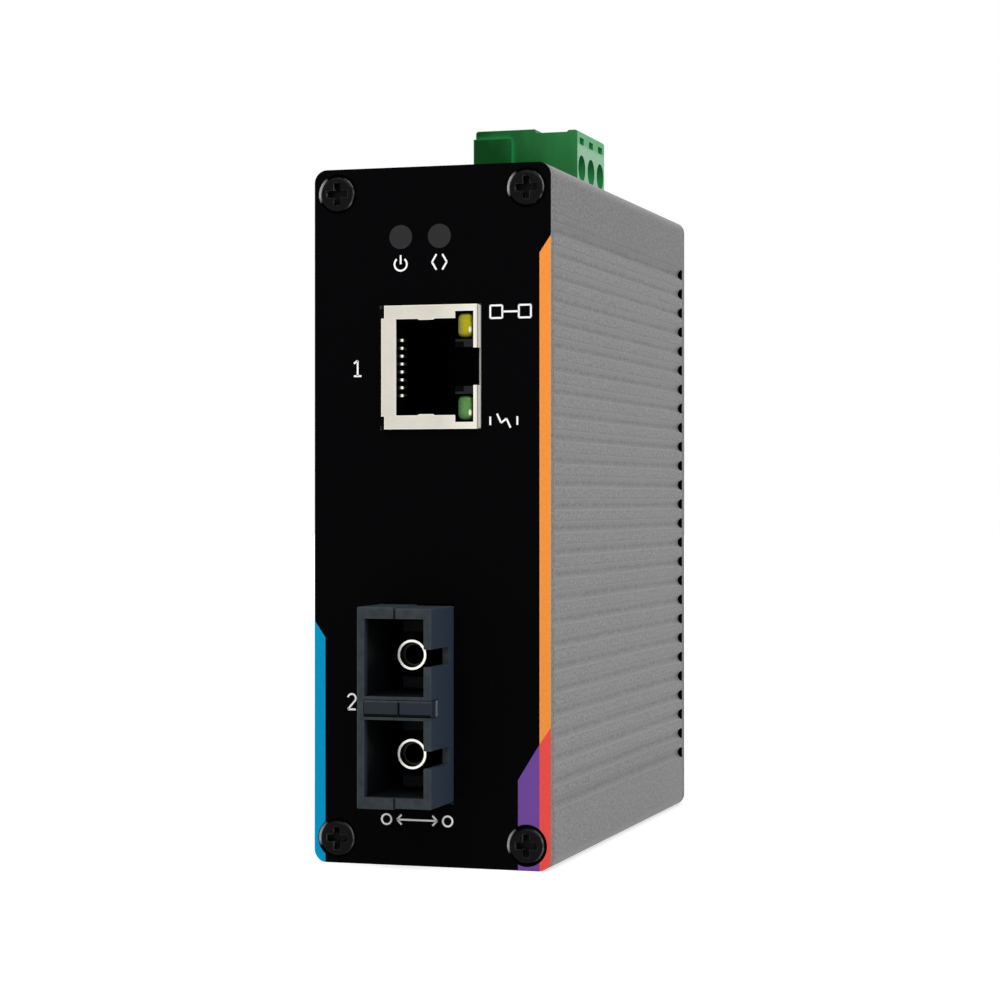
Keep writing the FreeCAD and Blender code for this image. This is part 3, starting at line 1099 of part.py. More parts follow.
def rail_bracket():
    """Bracket with a fixed hook above, a channel for the latch below and the spring post."""
    body = new_body("rail_bracket")
    half = "(bracket_wide / 2)"
    rail_edge = f"({RAIL_TOP} + rail_play / 2)"
    top = f"({rail_edge} + hook_root)"
    hook_low = f"({RAIL_TOP} - hook_reach)"
    add(body, "yz", f"-{half}", half, [
        (REAR, "bracket_low"), (SEAT, "bracket_low"), (SEAT, rail_edge), (LIP_FRONT, rail_edge),
        (LIP_FRONT, hook_low), (f"{LIP_BACK} - lip_bevel", f"{hook_low} - lip_bevel"),
        (LIP_BACK, f"{hook_low} + lip_bevel"), (LIP_BACK, f"{top} - 2 * lip_bevel"),
        (f"{LIP_BACK} - 2 * lip_bevel", top), (REAR, top)])
    wide = "(latch_wide / 2 + latch_flange + latch_gap)"
    narrow = "(latch_wide / 2 + latch_gap)"
    channel = ("bracket_low - over_cut", f"{LATCH_TOP} + rail_play + latch_travel")
    flange_back = f"({LATCH_FRONT} + flange_thick + latch_gap)"
    cut(body, "xz", CHANNEL, flange_back, rect(f"-{wide}", wide, *channel))
    cut(body, "xz", flange_back, SEAT, rect(f"-{narrow}", narrow, *channel))
    post = "(window_wide / 2 - latch_gap)"
    add(body, "xz", f"{CHANNEL} - fit_gap", f"{SPRING_Y} + spring_radius",
        rect(f"-{post}", post, POST_LOW, POST_HIGH))
    centres = [("0", "bracket_screw_low"), ("0", "(bracket_screw_low + bracket_screw_pitch)")]
    through_hole(body, SEAT, False, centres, "bracket_screw + screw_gap", "bracket_sink")
    below = {"z": "bracket_low + fit_gap"}
    dress(body, "Fillet", "bracket_round",
          lambda edge: runs_along(edge, "y", high=below)
          and (lies_at(edge, "x", half) or lies_at(edge, "x", f"-{half}")))


def rail_latch():
    """Sliding latch: flanged plate, catch for the rail, spring window and screwdriver slot."""
    body = new_body("rail_latch")
    foot_high = f"({RAIL_LOW} - rail_play / 2)"
    foot_low = f"({foot_high} - latch_foot)"
    catch = f"({RAIL_LOW} + hook_reach)"
    outside = f"({SEAT} + latch_gap)"
    inside = f"({SEAT} - latch_gap)"
    half = "(latch_wide / 2)"
    add(body, "xz", LATCH_FRONT, f"{LATCH_FRONT} + flange_thick",
        rect(f"-{half} - latch_flange", f"{half} + latch_flange", "latch_low + latch_tail", LATCH_TOP))
    add(body, "yz", f"-{half}", half, [
        (LATCH_FRONT, "latch_low"), (outside, "latch_low"), (outside, foot_low),
        (f"{LIP_BACK} - lip_bevel", foot_low), (LIP_BACK, f"{foot_low} + lip_bevel"),
        (LIP_BACK, f"{catch} - 2 * lip_bevel"), (f"{LIP_BACK} - 2 * lip_bevel", catch),
        (LIP_FRONT, f"{catch} - lip_bevel / 2"), (LIP_FRONT, foot_high), (inside, foot_high),
        (inside, LATCH_TOP), (LATCH_FRONT, LATCH_TOP)])
    window = "(window_wide / 2)"
    cut(body, "xz", LATCH_FRONT, f"{LIP_BACK} + over_cut",
        rect(f"-{window}", window, "window_low", WINDOW_HIGH))
    slot_low = "(latch_low + driver_low)"
    cut(body, "xz", LATCH_FRONT, f"{outside} + over_cut",
        rect("-driver_wide / 2", "driver_wide / 2", slot_low, f"{slot_low} + driver_tall"))


def latch_spring():
    """Compression spring between the bracket's post and the top of the latch window."""
    body = new_body("latch_spring")
    end = "(wire_radius + spring_gap)"
    low, high = f"({POST_HIGH} + {end})", f"({WINDOW_HIGH} - {end})"
    corners = []
    for angle in range(0, 360, 45):
        across, up = f"wire_radius * cos({angle})", f"wire_radius * sin({angle})"
        corners.append((f"spring_radius + {across}", f"{low} + {up}"))
    sketch = new_sketch(body, "xz", SPRING_Y)
    draw_outline(sketch, corners)
    coil = body.newObject("PartDesign::AdditiveHelix", "Coil")
    coil.Profile = sketch
    coil.ReferenceAxis = (sketch, ["V_Axis"])
    coil.Mode = "height-turns-angle"
    coil.setExpression("Height", bound(f"{high} - {low}"))
    coil.setExpression("Turns", bound("spring_turns"))
    settle(body, coil, adds=True)


def bracket_screws():
    body = new_body("bracket_screws")
    features = countersunk(body, SEAT, "-1", "0", "bracket_screw_low", "bracket_screw", "bracket_head",
                           "bracket_screw_long", "(bracket_sink - bracket_head - head_edge)", "0")
    repeat(body, features, adds=True, z=("bracket_screw_pitch", "2"))


# ---------------------------------------------------------------- build, check and export

housing()
front_plate()
rear_plate()
plate_screws("front_screws", FRONT, "1")
plate_screws("rear_screws", REAR, "-1")
printed_fields()
main_board()
board_parts()
status_lamps()
jack_shield()
jack_insert()
jack_contacts()
jack_lamps()
transceiver_case()
middle_bar()
latch_block()
barrels()
transceiver_pins()
terminal_header()
header_pins()
plug_housing()
plug_contacts()
clamps()
rail_bracket()
rail_latch()
latch_spring()
bracket_screws()

doc.recompute()
for item in doc.Objects:
    if "Invalid" in item.State or "Error" in item.State:
        raise ValueError(f"{item.Name} ({item.Label}) failed: {item.State}")
os.makedirs("parts", exist_ok=True)
for label, item in subparts.items():
    shape = item.Shape
    if shape.isNull() or not shape.isValid():
        raise ValueError(f"{label} has no valid shape")
    shape.exportStep(f"parts/{label}.step")
    print(f"{label}: {len(shape.Solids)} solid(s), {shape.Volume:.1f} mm3")
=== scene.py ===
"""The looks of a fibre media converter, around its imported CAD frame.

Every length is in metres, in the frame of the CAD part: +X to the right of the front plate,
+Z up, and the front plate faces -Y.
"""

import math

import bmesh
import bpy
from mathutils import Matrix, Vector


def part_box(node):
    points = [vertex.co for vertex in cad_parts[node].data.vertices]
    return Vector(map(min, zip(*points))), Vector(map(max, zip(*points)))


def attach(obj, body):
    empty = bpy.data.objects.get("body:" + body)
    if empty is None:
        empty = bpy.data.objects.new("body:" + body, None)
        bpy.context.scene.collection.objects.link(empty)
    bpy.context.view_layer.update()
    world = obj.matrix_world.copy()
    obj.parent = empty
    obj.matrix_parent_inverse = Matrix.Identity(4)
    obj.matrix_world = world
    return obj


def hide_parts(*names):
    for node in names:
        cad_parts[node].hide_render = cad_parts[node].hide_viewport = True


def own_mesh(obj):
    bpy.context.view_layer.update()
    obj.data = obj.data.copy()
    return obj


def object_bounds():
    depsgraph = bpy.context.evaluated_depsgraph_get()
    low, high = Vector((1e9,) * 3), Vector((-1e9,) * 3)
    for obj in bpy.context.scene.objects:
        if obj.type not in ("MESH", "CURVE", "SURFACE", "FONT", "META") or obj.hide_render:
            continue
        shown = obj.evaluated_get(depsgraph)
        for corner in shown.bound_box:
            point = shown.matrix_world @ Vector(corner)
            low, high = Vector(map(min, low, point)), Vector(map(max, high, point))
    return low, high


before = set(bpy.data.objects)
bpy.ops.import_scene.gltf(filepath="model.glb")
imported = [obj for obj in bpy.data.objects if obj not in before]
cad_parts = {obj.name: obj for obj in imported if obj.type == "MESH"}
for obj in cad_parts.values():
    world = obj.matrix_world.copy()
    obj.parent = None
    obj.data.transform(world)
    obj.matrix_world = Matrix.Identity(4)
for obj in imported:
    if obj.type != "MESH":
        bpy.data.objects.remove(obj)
CAD_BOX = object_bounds()

MM = 0.001
WHITE = (1.0, 1.0, 1.0)


# --------------------------------------------------------------------------------------------
# The material builder
# --------------------------------------------------------------------------------------------

# A stretch that changes nothing, the rays of a bevel or an openness test, and the cosines of
# the turn at which an edge mask starts and is at its strongest
EVEN = (1.0, 1.0, 1.0)
RAY_SAMPLES = 6
FLAT_COSINE = 0.995
SHARP_COSINE = 0.80


def screen(red, green, blue):
    """The linear colour of an 8-bit screen colour."""
    def linear(level):
        share = level / 255
        return share / 12.92 if share <= 0.04045 else ((share + 0.055) / 1.055) ** 2.4
    return linear(red), linear(green), linear(blue)


def shade(colour, factor):
    """The colour made darker or lighter by a factor."""
    return tuple(min(1.0, channel * factor) for channel in colour)


class Look:
    """A material being made: its shader, and short ways to add procedural detail to it."""

    def __init__(self, name, colour, roughness, metallic=0.0, specular=0.5):
        self.material = bpy.data.materials.new(name)
        self.material.use_nodes = True
        self.tree = self.material.node_tree
        self.shader = self.tree.nodes["Principled BSDF"]
        self.colour = colour
        self.normal = None
        self.set("Base Color", (*colour, 1.0))
        self.set("Roughness", roughness)
        self.set("Metallic", metallic)
        self.set("Specular IOR Level", specular)

    def set(self, socket, value):
        """Gives one of the shader's own sockets a plain value."""
        self.shader.inputs[socket].default_value = value

    def node(self, kind):
        """A new node of the material."""
        return self.tree.nodes.new("ShaderNode" + kind)

    def link(self, source, target):
        """Joins an output to an input."""
        self.tree.links.new(source, target)

    def feed(self, target, value):
        """Joins an output to an input, or writes a plain value into it."""
        if isinstance(value, bpy.types.NodeSocket):
            self.link(value, target)
        else:
            target.default_value = value

    def place(self, stretch=EVEN):
        """The point's own place on the part, stretched along X, Y and Z."""
        scaled = self.node("VectorMath")
        scaled.operation = "MULTIPLY"
        self.link(self.node("TexCoord").outputs["Object"], scaled.inputs[0])
        scaled.inputs[1].default_value = stretch
        return scaled.outputs["Vector"]

    def noise(self, size, detail=2.0, rough=0.5, stretch=EVEN):
        """Soft random spots of a given size."""
        node = self.node("TexNoise")
        node.inputs["Scale"].default_value = 1 / size
        node.inputs["Detail"].default_value = detail
        node.inputs["Roughness"].default_value = rough
        self.link(self.place(stretch), node.inputs["Vector"])
        return node.outputs["Fac"]

    def cells(self, size, feature="F1"):
        """The distance to the nearest of many scattered points, or to the nearest cell edge."""
        node = self.node("TexVoronoi")
        node.feature = feature
        node.inputs["Scale"].default_value = 1 / size
        self.link(self.place(), node.inputs["Vector"])
        return node.outputs["Distance"]

    def span(self, value, low, high, start=0.0, end=1.0):
        """A value from low to high, brought to start to end and held there."""
        node = self.node("MapRange")
        self.link(value, node.inputs["Value"])
        node.inputs["From Min"].default_value = low
        node.inputs["From Max"].default_value = high
        node.inputs["To Min"].default_value = start
        node.inputs["To Max"].default_value = end
        return node.outputs["Result"]

    def maths(self, operation, first, second=0.0):
        """One step of arithmetic on one or two values."""
        node = self.node("Math")
        node.operation = operation
        self.feed(node.inputs[0], first)
        self.feed(node.inputs[1], second)
        return node.outputs["Value"]

    def mix(self, share, first, second):
        """A colour between two others, by a share from 0 to 1."""
        node = self.node("Mix")
        node.data_type = "RGBA"
        share_in, first_in, second_in = node.inputs[0], node.inputs[6], node.inputs[7]
        self.feed(share_in, share)
        self.feed(first_in, (*first, 1.0) if isinstance(first, tuple) else first)
        self.feed(second_in, (*second, 1.0) if isinstance(second, tuple) else second)
        return node.outputs[2]

    def both(self, *shares):
        """The product of two or more masks."""
        product = shares[0]
        for share in shares[1:]:
            product = self.maths("MULTIPLY", product, share)
        return product

    def either(self, first, second):
        """The larger of two masks."""
        return self.maths("MAXIMUM", first, second)

    def along(self, axis):
        """The place along one axis, in metres."""
        split = self.node("SeparateXYZ")
        self.link(self.place(), split.inputs["Vector"])
        return split.outputs[axis]

    def away(self, axis, middle):
        """The distance from a place along an axis."""
        return self.maths("ABSOLUTE", self.maths("SUBTRACT", self.along(axis), middle))

    def fade(self, axis, first, last, start=0.0, end=1.0):
        """A value that goes from start to end between two places along an axis."""
        return self.span(self.along(axis), first, last, start, end)

    def before(self, axis, place):
        """1 before a place along an axis, and 0 past it."""
        return self.maths("LESS_THAN", self.along(axis), place)

    def past(self, axis, place):
        """1 past a place along an axis, and 0 before it."""
        return self.maths("GREATER_THAN", self.along(axis), place)

    def within(self, axis, first, last):
        """1 between two places along an axis, and 0 outside them."""
        return self.both(self.past(axis, first), self.before(axis, last))

    def slope(self, axis):
        """How far a face turns towards an axis, from -1 to 1."""
        split = self.node("SeparateXYZ")
        self.link(self.node("NewGeometry").outputs["Normal"], split.inputs["Vector"])
        return split.outputs[axis]

    def turned(self, axis):
        """How far a face turns to either side of an axis, from 0 to 1."""
        return self.maths("ABSOLUTE", self.slope(axis))

    def facing(self, axis, least):
        """1 on faces turned to either side of an axis by a least share, and 0 on the others."""
        return self.maths("GREATER_THAN", self.turned(axis), least)

    def bevel(self, radius):
        """The normal of the face as if its edges were rounded."""
        node = self.node("Bevel")
        node.samples = RAY_SAMPLES
        node.inputs["Radius"].default_value = radius
        return node.outputs["Normal"]

    def edges(self, radius, strength):
        """A mask that is at its strength on sharp outer and inner edges and 0 on flat faces."""
        product = self.node("VectorMath")
        product.operation = "DOT_PRODUCT"
        self.link(self.bevel(radius), product.inputs[0])
        self.link(self.node("NewGeometry").outputs["Normal"], product.inputs[1])
        return self.span(product.outputs["Value"], FLAT_COSINE, SHARP_COSINE, 0.0, strength)

    def openness(self, reach):
        """1 on open faces, falling towards 0 deep inside a cavity."""
        node = self.node("AmbientOcclusion")
        node.samples = RAY_SAMPLES
        node.inputs["Distance"].default_value = reach
        return node.outputs["AO"]

    def mottle(self, size, contrast, stretch=EVEN):
        """The look's colour with lighter and darker spots."""
        spots = self.span(self.noise(size, stretch=stretch), 0.25, 0.75)
        return self.mix(spots, shade(self.colour, 1 - contrast), shade(self.colour, 1 + contrast))

    def paint(self, colour):
        """Takes the base colour from nodes."""
        self.link(colour, self.shader.inputs["Base Color"])

    def roughen(self, value, smooth, rough):
        """Takes the roughness from a value between 0 and 1."""
        self.link(self.span(value, 0.0, 1.0, smooth, rough), self.shader.inputs["Roughness"])

    def metallise(self, share, none, full):
        """Takes the metallic share from a mask, from its value at 0 to its value at 1."""
        self.link(self.span(share, 0.0, 1.0, none, full), self.shader.inputs["Metallic"])

    def soften(self, radius):
        """Rounds the shading of sharp edges."""
        self.normal = self.bevel(radius)
        self.link(self.normal, self.shader.inputs["Normal"])

    def bump(self, value, depth, strength):
        """Adds relief of a given depth."""
        node = self.node("Bump")
        node.inputs["Distance"].default_value = depth
        node.inputs["Strength"].default_value = strength
        self.link(value, node.inputs["Height"])
        if self.normal is not None:
            self.link(self.normal, node.inputs["Normal"])
        self.normal = node.outputs["Normal"]
        self.link(self.normal, self.shader.inputs["Normal"])


# --------------------------------------------------------------------------------------------
# Colours of the finishes, chosen for how they show in the studio light
# --------------------------------------------------------------------------------------------

METAL_GREY = screen(127, 127, 127)
# A painted highlight for the edges of bare metal
METAL_EDGE_LIT = screen(176, 176, 176)
FILM_BLACK = screen(2, 2, 3)
# A painted reflection in the plate's sinks
FILM_GLINT = screen(190, 190, 192)
OXIDE_BLACK = screen(5, 5, 6)
# Painted shade and painted reflection for the black oxide screws
OXIDE_SHADE = screen(1, 1, 1)
OXIDE_GLINT = screen(130, 130, 132)
INK_WHITE = screen(250, 250, 250)
BOARD_GREEN = screen(24, 84, 48)
TRACK_GREEN = screen(48, 120, 70)
FERRITE_GREY = screen(58, 58, 60)
SMOKE_GREY = screen(40, 40, 40)
PORT_GREY = screen(50, 57, 61)
# The port's side, painted lighter as if lit from the right
PORT_SIDE_LIT = screen(48, 58, 72)
PORT_LINE = screen(2, 3, 4)
BAR_GREY = screen(38, 44, 50)
BAR_END = screen(96, 106, 118)
PLUG_GREEN = screen(26, 92, 50)
# The plug's green in painted shade and painted light, on its front, its right side, its edges and
# in its holes
PLUG_SHADED = screen(6, 61, 20)
PLUG_LIT = screen(45, 120, 65)
PLUG_SIDE_TOP_LIT = screen(106, 178, 126)
PLUG_SIDE_LIT = screen(154, 202, 166)
PLUG_SIDE_EDGE_LIT = screen(150, 204, 164)
PLUG_HOLES_LIT = screen(48, 178, 96)
NICKEL = screen(208, 203, 191)
# Painted light, and painted shade for the fold, on the nickel shield
NICKEL_LIT = screen(252, 248, 238)
NICKEL_FOLD_SHADE = screen(84, 80, 74)
JACK_BLACK = screen(4, 4, 5)
JACK_SHELF_LIT = screen(34, 38, 37)
# A painted glint on the lamp lenses
LENS_GLINT = screen(240, 238, 210)
CERAMIC_SHADE = screen(20, 15, 10)


# --------------------------------------------------------------------------------------------
# Places on the part that the materials and marks are measured from
# --------------------------------------------------------------------------------------------

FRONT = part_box("front_plate")[0].y
# Where painted shade starts deep in the fibre barrels, and where it ends and starts again on the
# jack's contacts
BARREL_DARK_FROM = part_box("fibre_barrels")[0].y + 0.1 * MM
CONTACT_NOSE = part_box("jack_contacts")[0].y
CONTACT_DARK_TO = CONTACT_NOSE + 0.16 * MM
CONTACT_DARK_FROM = CONTACT_NOSE + 0.9 * MM


# --------------------------------------------------------------------------------------------
# Materials, one function for each finish
# --------------------------------------------------------------------------------------------

# The stretch of fine lines that run across Z, and of those that run along Y
ROLL_Z = (0.2, 0.2, 3.0)
ROLL_Y = (3.0, 0.2, 3.0)


def blasted(look, colour):
    """Fine bright and dark grain over a soft cloudiness, as bead blasting leaves it."""
    grain = look.noise(0.38 * MM, detail=3.0, rough=0.75, stretch=(1.0, 0.6, 1.0))
    cloud = look.noise(9 * MM)
    ground = look.mix(look.span(grain, 0.30, 0.70), shade(colour, 0.55), shade(colour, 1.52))
    return look.mix(look.span(cloud, 0.3, 0.7, 0.0, 0.12), ground, shade(colour, 1.3)), grain


# Where painted shade darkens the sleeve, down from its top and up from its foot
TOP_SHADE_FROM, TOP_SHADE_TO = 9.5 * MM, 7.5 * MM
FOOT_SHADE_FROM, FOOT_SHADE_TO = 12 * MM, 10 * MM


def case_metal(name):
    """Bead-blasted grey anodised aluminium, with painted light on its edges and groove flanks, and
    painted shade towards its top and its foot.
    """
    look = Look(name, METAL_GREY, 0.55, metallic=0.2, specular=0.3)
    toned, grain = blasted(look, METAL_GREY)
    # Painted light: faces turned up or down, such as the flanks of the grooves, are painted lighter
    slope = look.slope("Z")
    under = look.span(slope, 0.0, -1.0, 0.0, 0.7)
    over = look.span(slope, 0.0, 1.0, 0.0, 0.5)
    on_side = look.span(look.turned("X"), 0.0, 0.1)
    flanks_lit = look.mix(look.both(look.either(under, over), on_side), toned, shade(METAL_GREY, 1.9))
    low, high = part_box("housing")
    # Painted shade: the sleeve turns darker towards its top and its foot
    top = look.fade("Z", high.z - TOP_SHADE_FROM, high.z - TOP_SHADE_TO, 0.0, 0.2)
    foot = look.fade("Z", low.z + FOOT_SHADE_FROM, low.z + FOOT_SHADE_TO, 0.0, 0.08)
    shaded = look.mix(look.either(top, foot), flanks_lit, shade(METAL_GREY, 0.1))
    # Painted highlight along the sharp edges
    look.paint(look.mix(look.edges(0.2 * MM, 0.35), shaded, METAL_EDGE_LIT))
    look.roughen(grain, 0.5, 0.7)
    look.soften(0.9 * MM)
    look.bump(grain, 0.02 * MM, 0.5)
    return look


# The depth below the front face at which the painted reflection in a sink starts, and at which it
# is full
SINK_GLINT_FROM, SINK_GLINT_TO = 0.3 * MM, 0.18 * MM


def black_plate(name):
    """Sheet metal with a matt black film, bare blasted edges with painted highlights, and a painted
    reflection on the right-facing side of each sink.
    """
    look = Look(name, FILM_BLACK, 0.62, specular=0.02)
    coated = look.facing("Y", 0.3)
    toned, grain = blasted(look, METAL_GREY)
    # Painted highlight along the bare edges
    bare = look.mix(look.edges(0.3 * MM, 0.6), toned, METAL_EDGE_LIT)
    # Painted reflection of the light from the right, on the part of each sink that faces right and
    # not up
    cone = look.span(look.turned("Y"), 0.9, 0.8)
    rim = look.fade("Y", FRONT + SINK_GLINT_FROM, FRONT + SINK_GLINT_TO)
    lit_flank = look.both(look.span(look.slope("X"), 0.4, 0.6), look.span(look.slope("Z"), 0.3, 0.05))
    film = look.mix(look.both(cone, rim, lit_flank), look.mottle(0.25 * MM, 0.25), FILM_GLINT)
    look.paint(look.mix(coated, bare, film))
    look.metallise(coated, 0.2, 0.0)
    look.roughen(grain, 0.55, 0.72)
    look.bump(grain, 0.01 * MM, 0.5)
    return look


def black_screw(name):
    """Black oxide on a steel screw, with a painted reflection in patches on its rim that faces
    right and along its edges, and painted shade deep in its recess.
    """
    look = Look(name, OXIDE_BLACK, 0.34, specular=0.07)
    grain = look.noise(0.12 * MM, detail=3.0)
    patchy = look.span(look.noise(0.9 * MM, detail=1.0), 0.35, 0.6)
    # Painted reflection of the light from the right on the rim, broken into patches
    rounded = look.span(look.turned("Y"), 0.8, 0.5)
    right = look.span(look.slope("X"), 0.3, 0.7)
    outside = look.span(look.openness(1.2 * MM), 0.45, 0.85)
    rim = look.both(rounded, right, outside)
    glint_patches = look.both(look.either(rim, look.edges(0.12 * MM, 0.3)), patchy)
    # Painted shade deep in the recess
    dark = look.mix(outside, OXIDE_SHADE, look.mottle(0.3 * MM, 0.3))
    look.paint(look.mix(glint_patches, dark, OXIDE_GLINT))
    look.roughen(grain, 0.28, 0.46)
    look.bump(grain, 0.006 * MM, 0.5)
    return look


def ink(name, colour):
    """Matt screen-printed ink, with the faint unevenness of its mesh."""
    look = Look(name, colour, 0.6, specular=0.05)
    mesh = look.noise(0.15 * MM, detail=1.0)
    look.paint(look.mottle(0.4 * MM, 0.05))
    look.roughen(mesh, 0.52, 0.68)
    look.bump(mesh, 0.006 * MM, 0.4)
    return look


def board(name):
    """Green solder resist over glass weave and faint copper tracks."""
    look = Look(name, BOARD_GREEN, 0.38)
    tracks = look.cells(2.4 * MM, feature="DISTANCE_TO_EDGE")
    line = look.span(tracks, 0.02, 0.06, 1.0, 0.0)
    weave = look.noise(0.5 * MM, stretch=(1.0, 3.0, 1.0))
    look.paint(look.mix(line, look.mottle(0.6 * MM, 0.12), TRACK_GREEN))
    look.roughen(weave, 0.32, 0.46)
    look.bump(line, 0.03 * MM, 0.6)
    return look


def moulded(name, colour, roughness, specular=0.45, edge=1.8):
    """Moulded plastic: a fine spark-eroded texture, painted highlights on its edges and painted
    shade in its cavities.
    """
    look = Look(name, colour, roughness, specular=specular)
    grain = look.noise(0.2 * MM)
    # Painted highlight along the edges
    edged = look.mix(look.edges(0.12 * MM, 0.6), look.mottle(1.5 * MM, 0.08), shade(colour, edge))
    # Painted shade in the cavities
    cavity = look.span(look.openness(5 * MM), 0.15, 0.6)
    look.paint(look.mix(cavity, shade(colour, 0.1), edged))
    look.roughen(grain, roughness - 0.08, roughness + 0.08)
    look.bump(grain, 0.01 * MM, 0.5)
    return look


# Widths, depths and strength of the port's dark lines, counted from its seam or its middle bar, the
# one along the bar's foot being a painted shadow, and the stretch of the bar's end that is pale
SEAM_LEFT, SEAM_RIGHT = 0.1 * MM, 0.24 * MM
SEAM_DARK = 0.85
SHELL_WALL = 1.5 * MM
SKIN = 0.1 * MM
BAR_DEEP = 0.3 * MM
BAR_LIP = 0.25 * MM
BAR_SHADOW = 0.3 * MM
GROOVE_FROM, GROOVE_TO = 0.52 * MM, 0.84 * MM
PALE_FROM, PALE_TO = 1.5 * MM, 2.3 * MM


def port_lines(look, colour):
    """The dark seam of the port's halves, and its darker middle bar, grooved, with a painted shadow
    along its foot and a pale end.
    """
    low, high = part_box("middle_bar")
    cover_low, cover_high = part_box("transceiver_cover")
    seam_x = cover_low.x
    ahead = look.facing("Y", 0.5)
    walls = look.maths("GREATER_THAN", look.away("Z", (cover_low.z + cover_high.z) / 2),
                       (cover_high.z - cover_low.z) / 2 - SHELL_WALL)
    seam = look.both(ahead, walls, look.within("X", seam_x - SEAM_LEFT, seam_x + SEAM_RIGHT),
                     look.before("Y", cover_low.y + SKIN))
    seamed = look.mix(look.maths("MULTIPLY", seam, SEAM_DARK), colour, PORT_LINE)
    on_bar = look.both(ahead, look.before("Y", low.y + BAR_DEEP), look.within("X", low.x, high.x),
                       look.within("Z", low.z, high.z - BAR_LIP))
    barred = look.mix(on_bar, seamed, BAR_GREY)
    # Painted shadow along the foot of the bar
    shadow = look.both(on_bar, look.within("Z", low.z, low.z + BAR_SHADOW))
    groove = look.both(on_bar, look.within("X", seam_x + GROOVE_FROM, seam_x + GROOVE_TO))
    lined = look.mix(look.either(shadow, groove), barred, PORT_LINE)
    end = look.both(look.facing("X", 0.5), look.within("X", high.x - SKIN, high.x + SKIN),
                    look.within("Z", low.z, high.z))
    dark_end = look.both(end, look.within("Y", low.y, low.y + PALE_FROM))
    pale_end = look.both(end, look.within("Y", low.y + PALE_FROM, low.y + PALE_TO))
    return look.mix(pale_end, look.mix(dark_end, lined, BAR_GREY), BAR_END)


# How far the painted shade inside the port reaches past its latch block, and where it fades in
PORT_SPARE = 0.2 * MM
PORT_SHADE_FROM, PORT_SHADE_TO = 0.2 * MM, 1.6 * MM


def port_plastic(name):
    """Blue-grey moulding with painted highlights on its edges, painted light on its right side, and
    painted shade nearly black inside the two ports.
    """
    look = Look(name, PORT_GREY, 0.45, specular=0.05)
    grain = look.noise(0.2 * MM)
    cloud = look.noise(1.2 * MM, detail=3.0)
    toned = look.mix(look.span(cloud, 0.3, 0.7), shade(PORT_GREY, 0.82), shade(PORT_GREY, 1.25))
    # Painted highlight along the edges
    edged = look.mix(look.edges(0.14 * MM, 0.6), toned, shade(PORT_GREY, 2.0))
    low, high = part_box("latch_block")
    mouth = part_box("transceiver_cover")[0].y
    inside_x = look.maths("LESS_THAN", look.away("X", (low.x + high.x) / 2),
                          (high.x - low.x) / 2 + PORT_SPARE)
    inside_z = look.maths("LESS_THAN", look.away("Z", (low.z + high.z) / 2),
                          (high.z - low.z) / 2 + PORT_SPARE)
    # Painted shade inside the ports
    deep = look.both(inside_x, inside_z,
                     look.fade("Y", mouth + PORT_SHADE_FROM, mouth + PORT_SHADE_TO))
    # Painted light on the faces turned right
    lit_side = look.mix(look.span(look.slope("X"), 0.7, 0.9), edged, PORT_SIDE_LIT)
    look.paint(look.mix(deep, port_lines(look, lit_side), shade(PORT_GREY, 0.12)))
    look.roughen(grain, 0.37, 0.53)
    look.bump(grain, 0.01 * MM, 0.5)
    return look


# Down from the plug's top: where its painted light is brightest, and where the painted light on its
# flank changes tone. In from its right side: where the flank's painted pale green fades in
PLUG_LIT_TOP = 6 * MM
FLANK_TOP_FROM, FLANK_TOP_TO = 1.9 * MM, 2.6 * MM
FLANK_FROM, FLANK_TO = 0.6 * MM, 0.4 * MM


def terminal_green(name):
    """Green moulding in painted light: shaded on its left and low down, brighter up and right, pale
    on its right side and edges, and lighter in its holes.
    """
    look = Look(name, PLUG_GREEN, 0.42, specular=0.05)
    grain = look.noise(0.2 * MM)
    low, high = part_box("plug_housing")
    # Painted light and shade across the front: darker to the left and low down, brighter up and
    # right
    across = look.fade("X", low.x, high.x)
    up = look.fade("Z", high.z - PLUG_LIT_TOP, high.z, 0.0, 0.35)
    flow = look.span(look.noise(2.2 * MM, stretch=(1.0, 1.0, 0.4)), 0.3, 0.7, -0.08, 0.08)
    share = look.maths("ADD", look.maths("ADD", across, up), flow)
    toned = look.mix(look.span(share, 0.35, 1.25), PLUG_SHADED, PLUG_LIT)
    # Painted light on the side turned right, paler below its top
    lower = look.fade("Z", high.z - FLANK_TOP_FROM, high.z - FLANK_TOP_TO)
    lit_flank = look.mix(lower, PLUG_SIDE_TOP_LIT, PLUG_SIDE_LIT)
    outermost = look.fade("X", high.x - FLANK_FROM, high.x - FLANK_TO)
    side = look.both(look.span(look.slope("X"), 0.7, 0.9), outermost)
    # Painted highlight along the edges, paler on the right side
    edge = look.mix(side, shade(PLUG_GREEN, 1.6), PLUG_SIDE_EDGE_LIT)
    edged = look.mix(look.edges(0.4 * MM, 0.8), look.mix(side, toned, lit_flank), edge)
    # Painted light in the holes, lighter than the front to make up for their shade
    look.paint(look.mix(look.span(look.openness(2.5 * MM), 0.2, 0.8), PLUG_HOLES_LIT, edged))
    look.roughen(grain, 0.36, 0.5)
    look.bump(grain, 0.01 * MM, 0.5)
    return look


def rolled(look, stretch):
    """The fine lines of rolled or plated metal, and its colour with faint stains."""
    lines = look.noise(0.3 * MM, detail=3.0, stretch=stretch)
    stain = look.noise(2.5 * MM, detail=3.0)
    ground = look.mottle(0.35 * MM, 0.05, stretch=stretch)
    stained = look.span(stain, 0.35, 0.75, 0.0, 0.35)
    return lines, look.mix(stained, ground, shade(look.colour, 0.82))


# The lengths over which the painted shade deep in a metal piece and at its tip fades
DARK_FADE = 0.3 * MM
TIP_FADE = 0.1 * MM


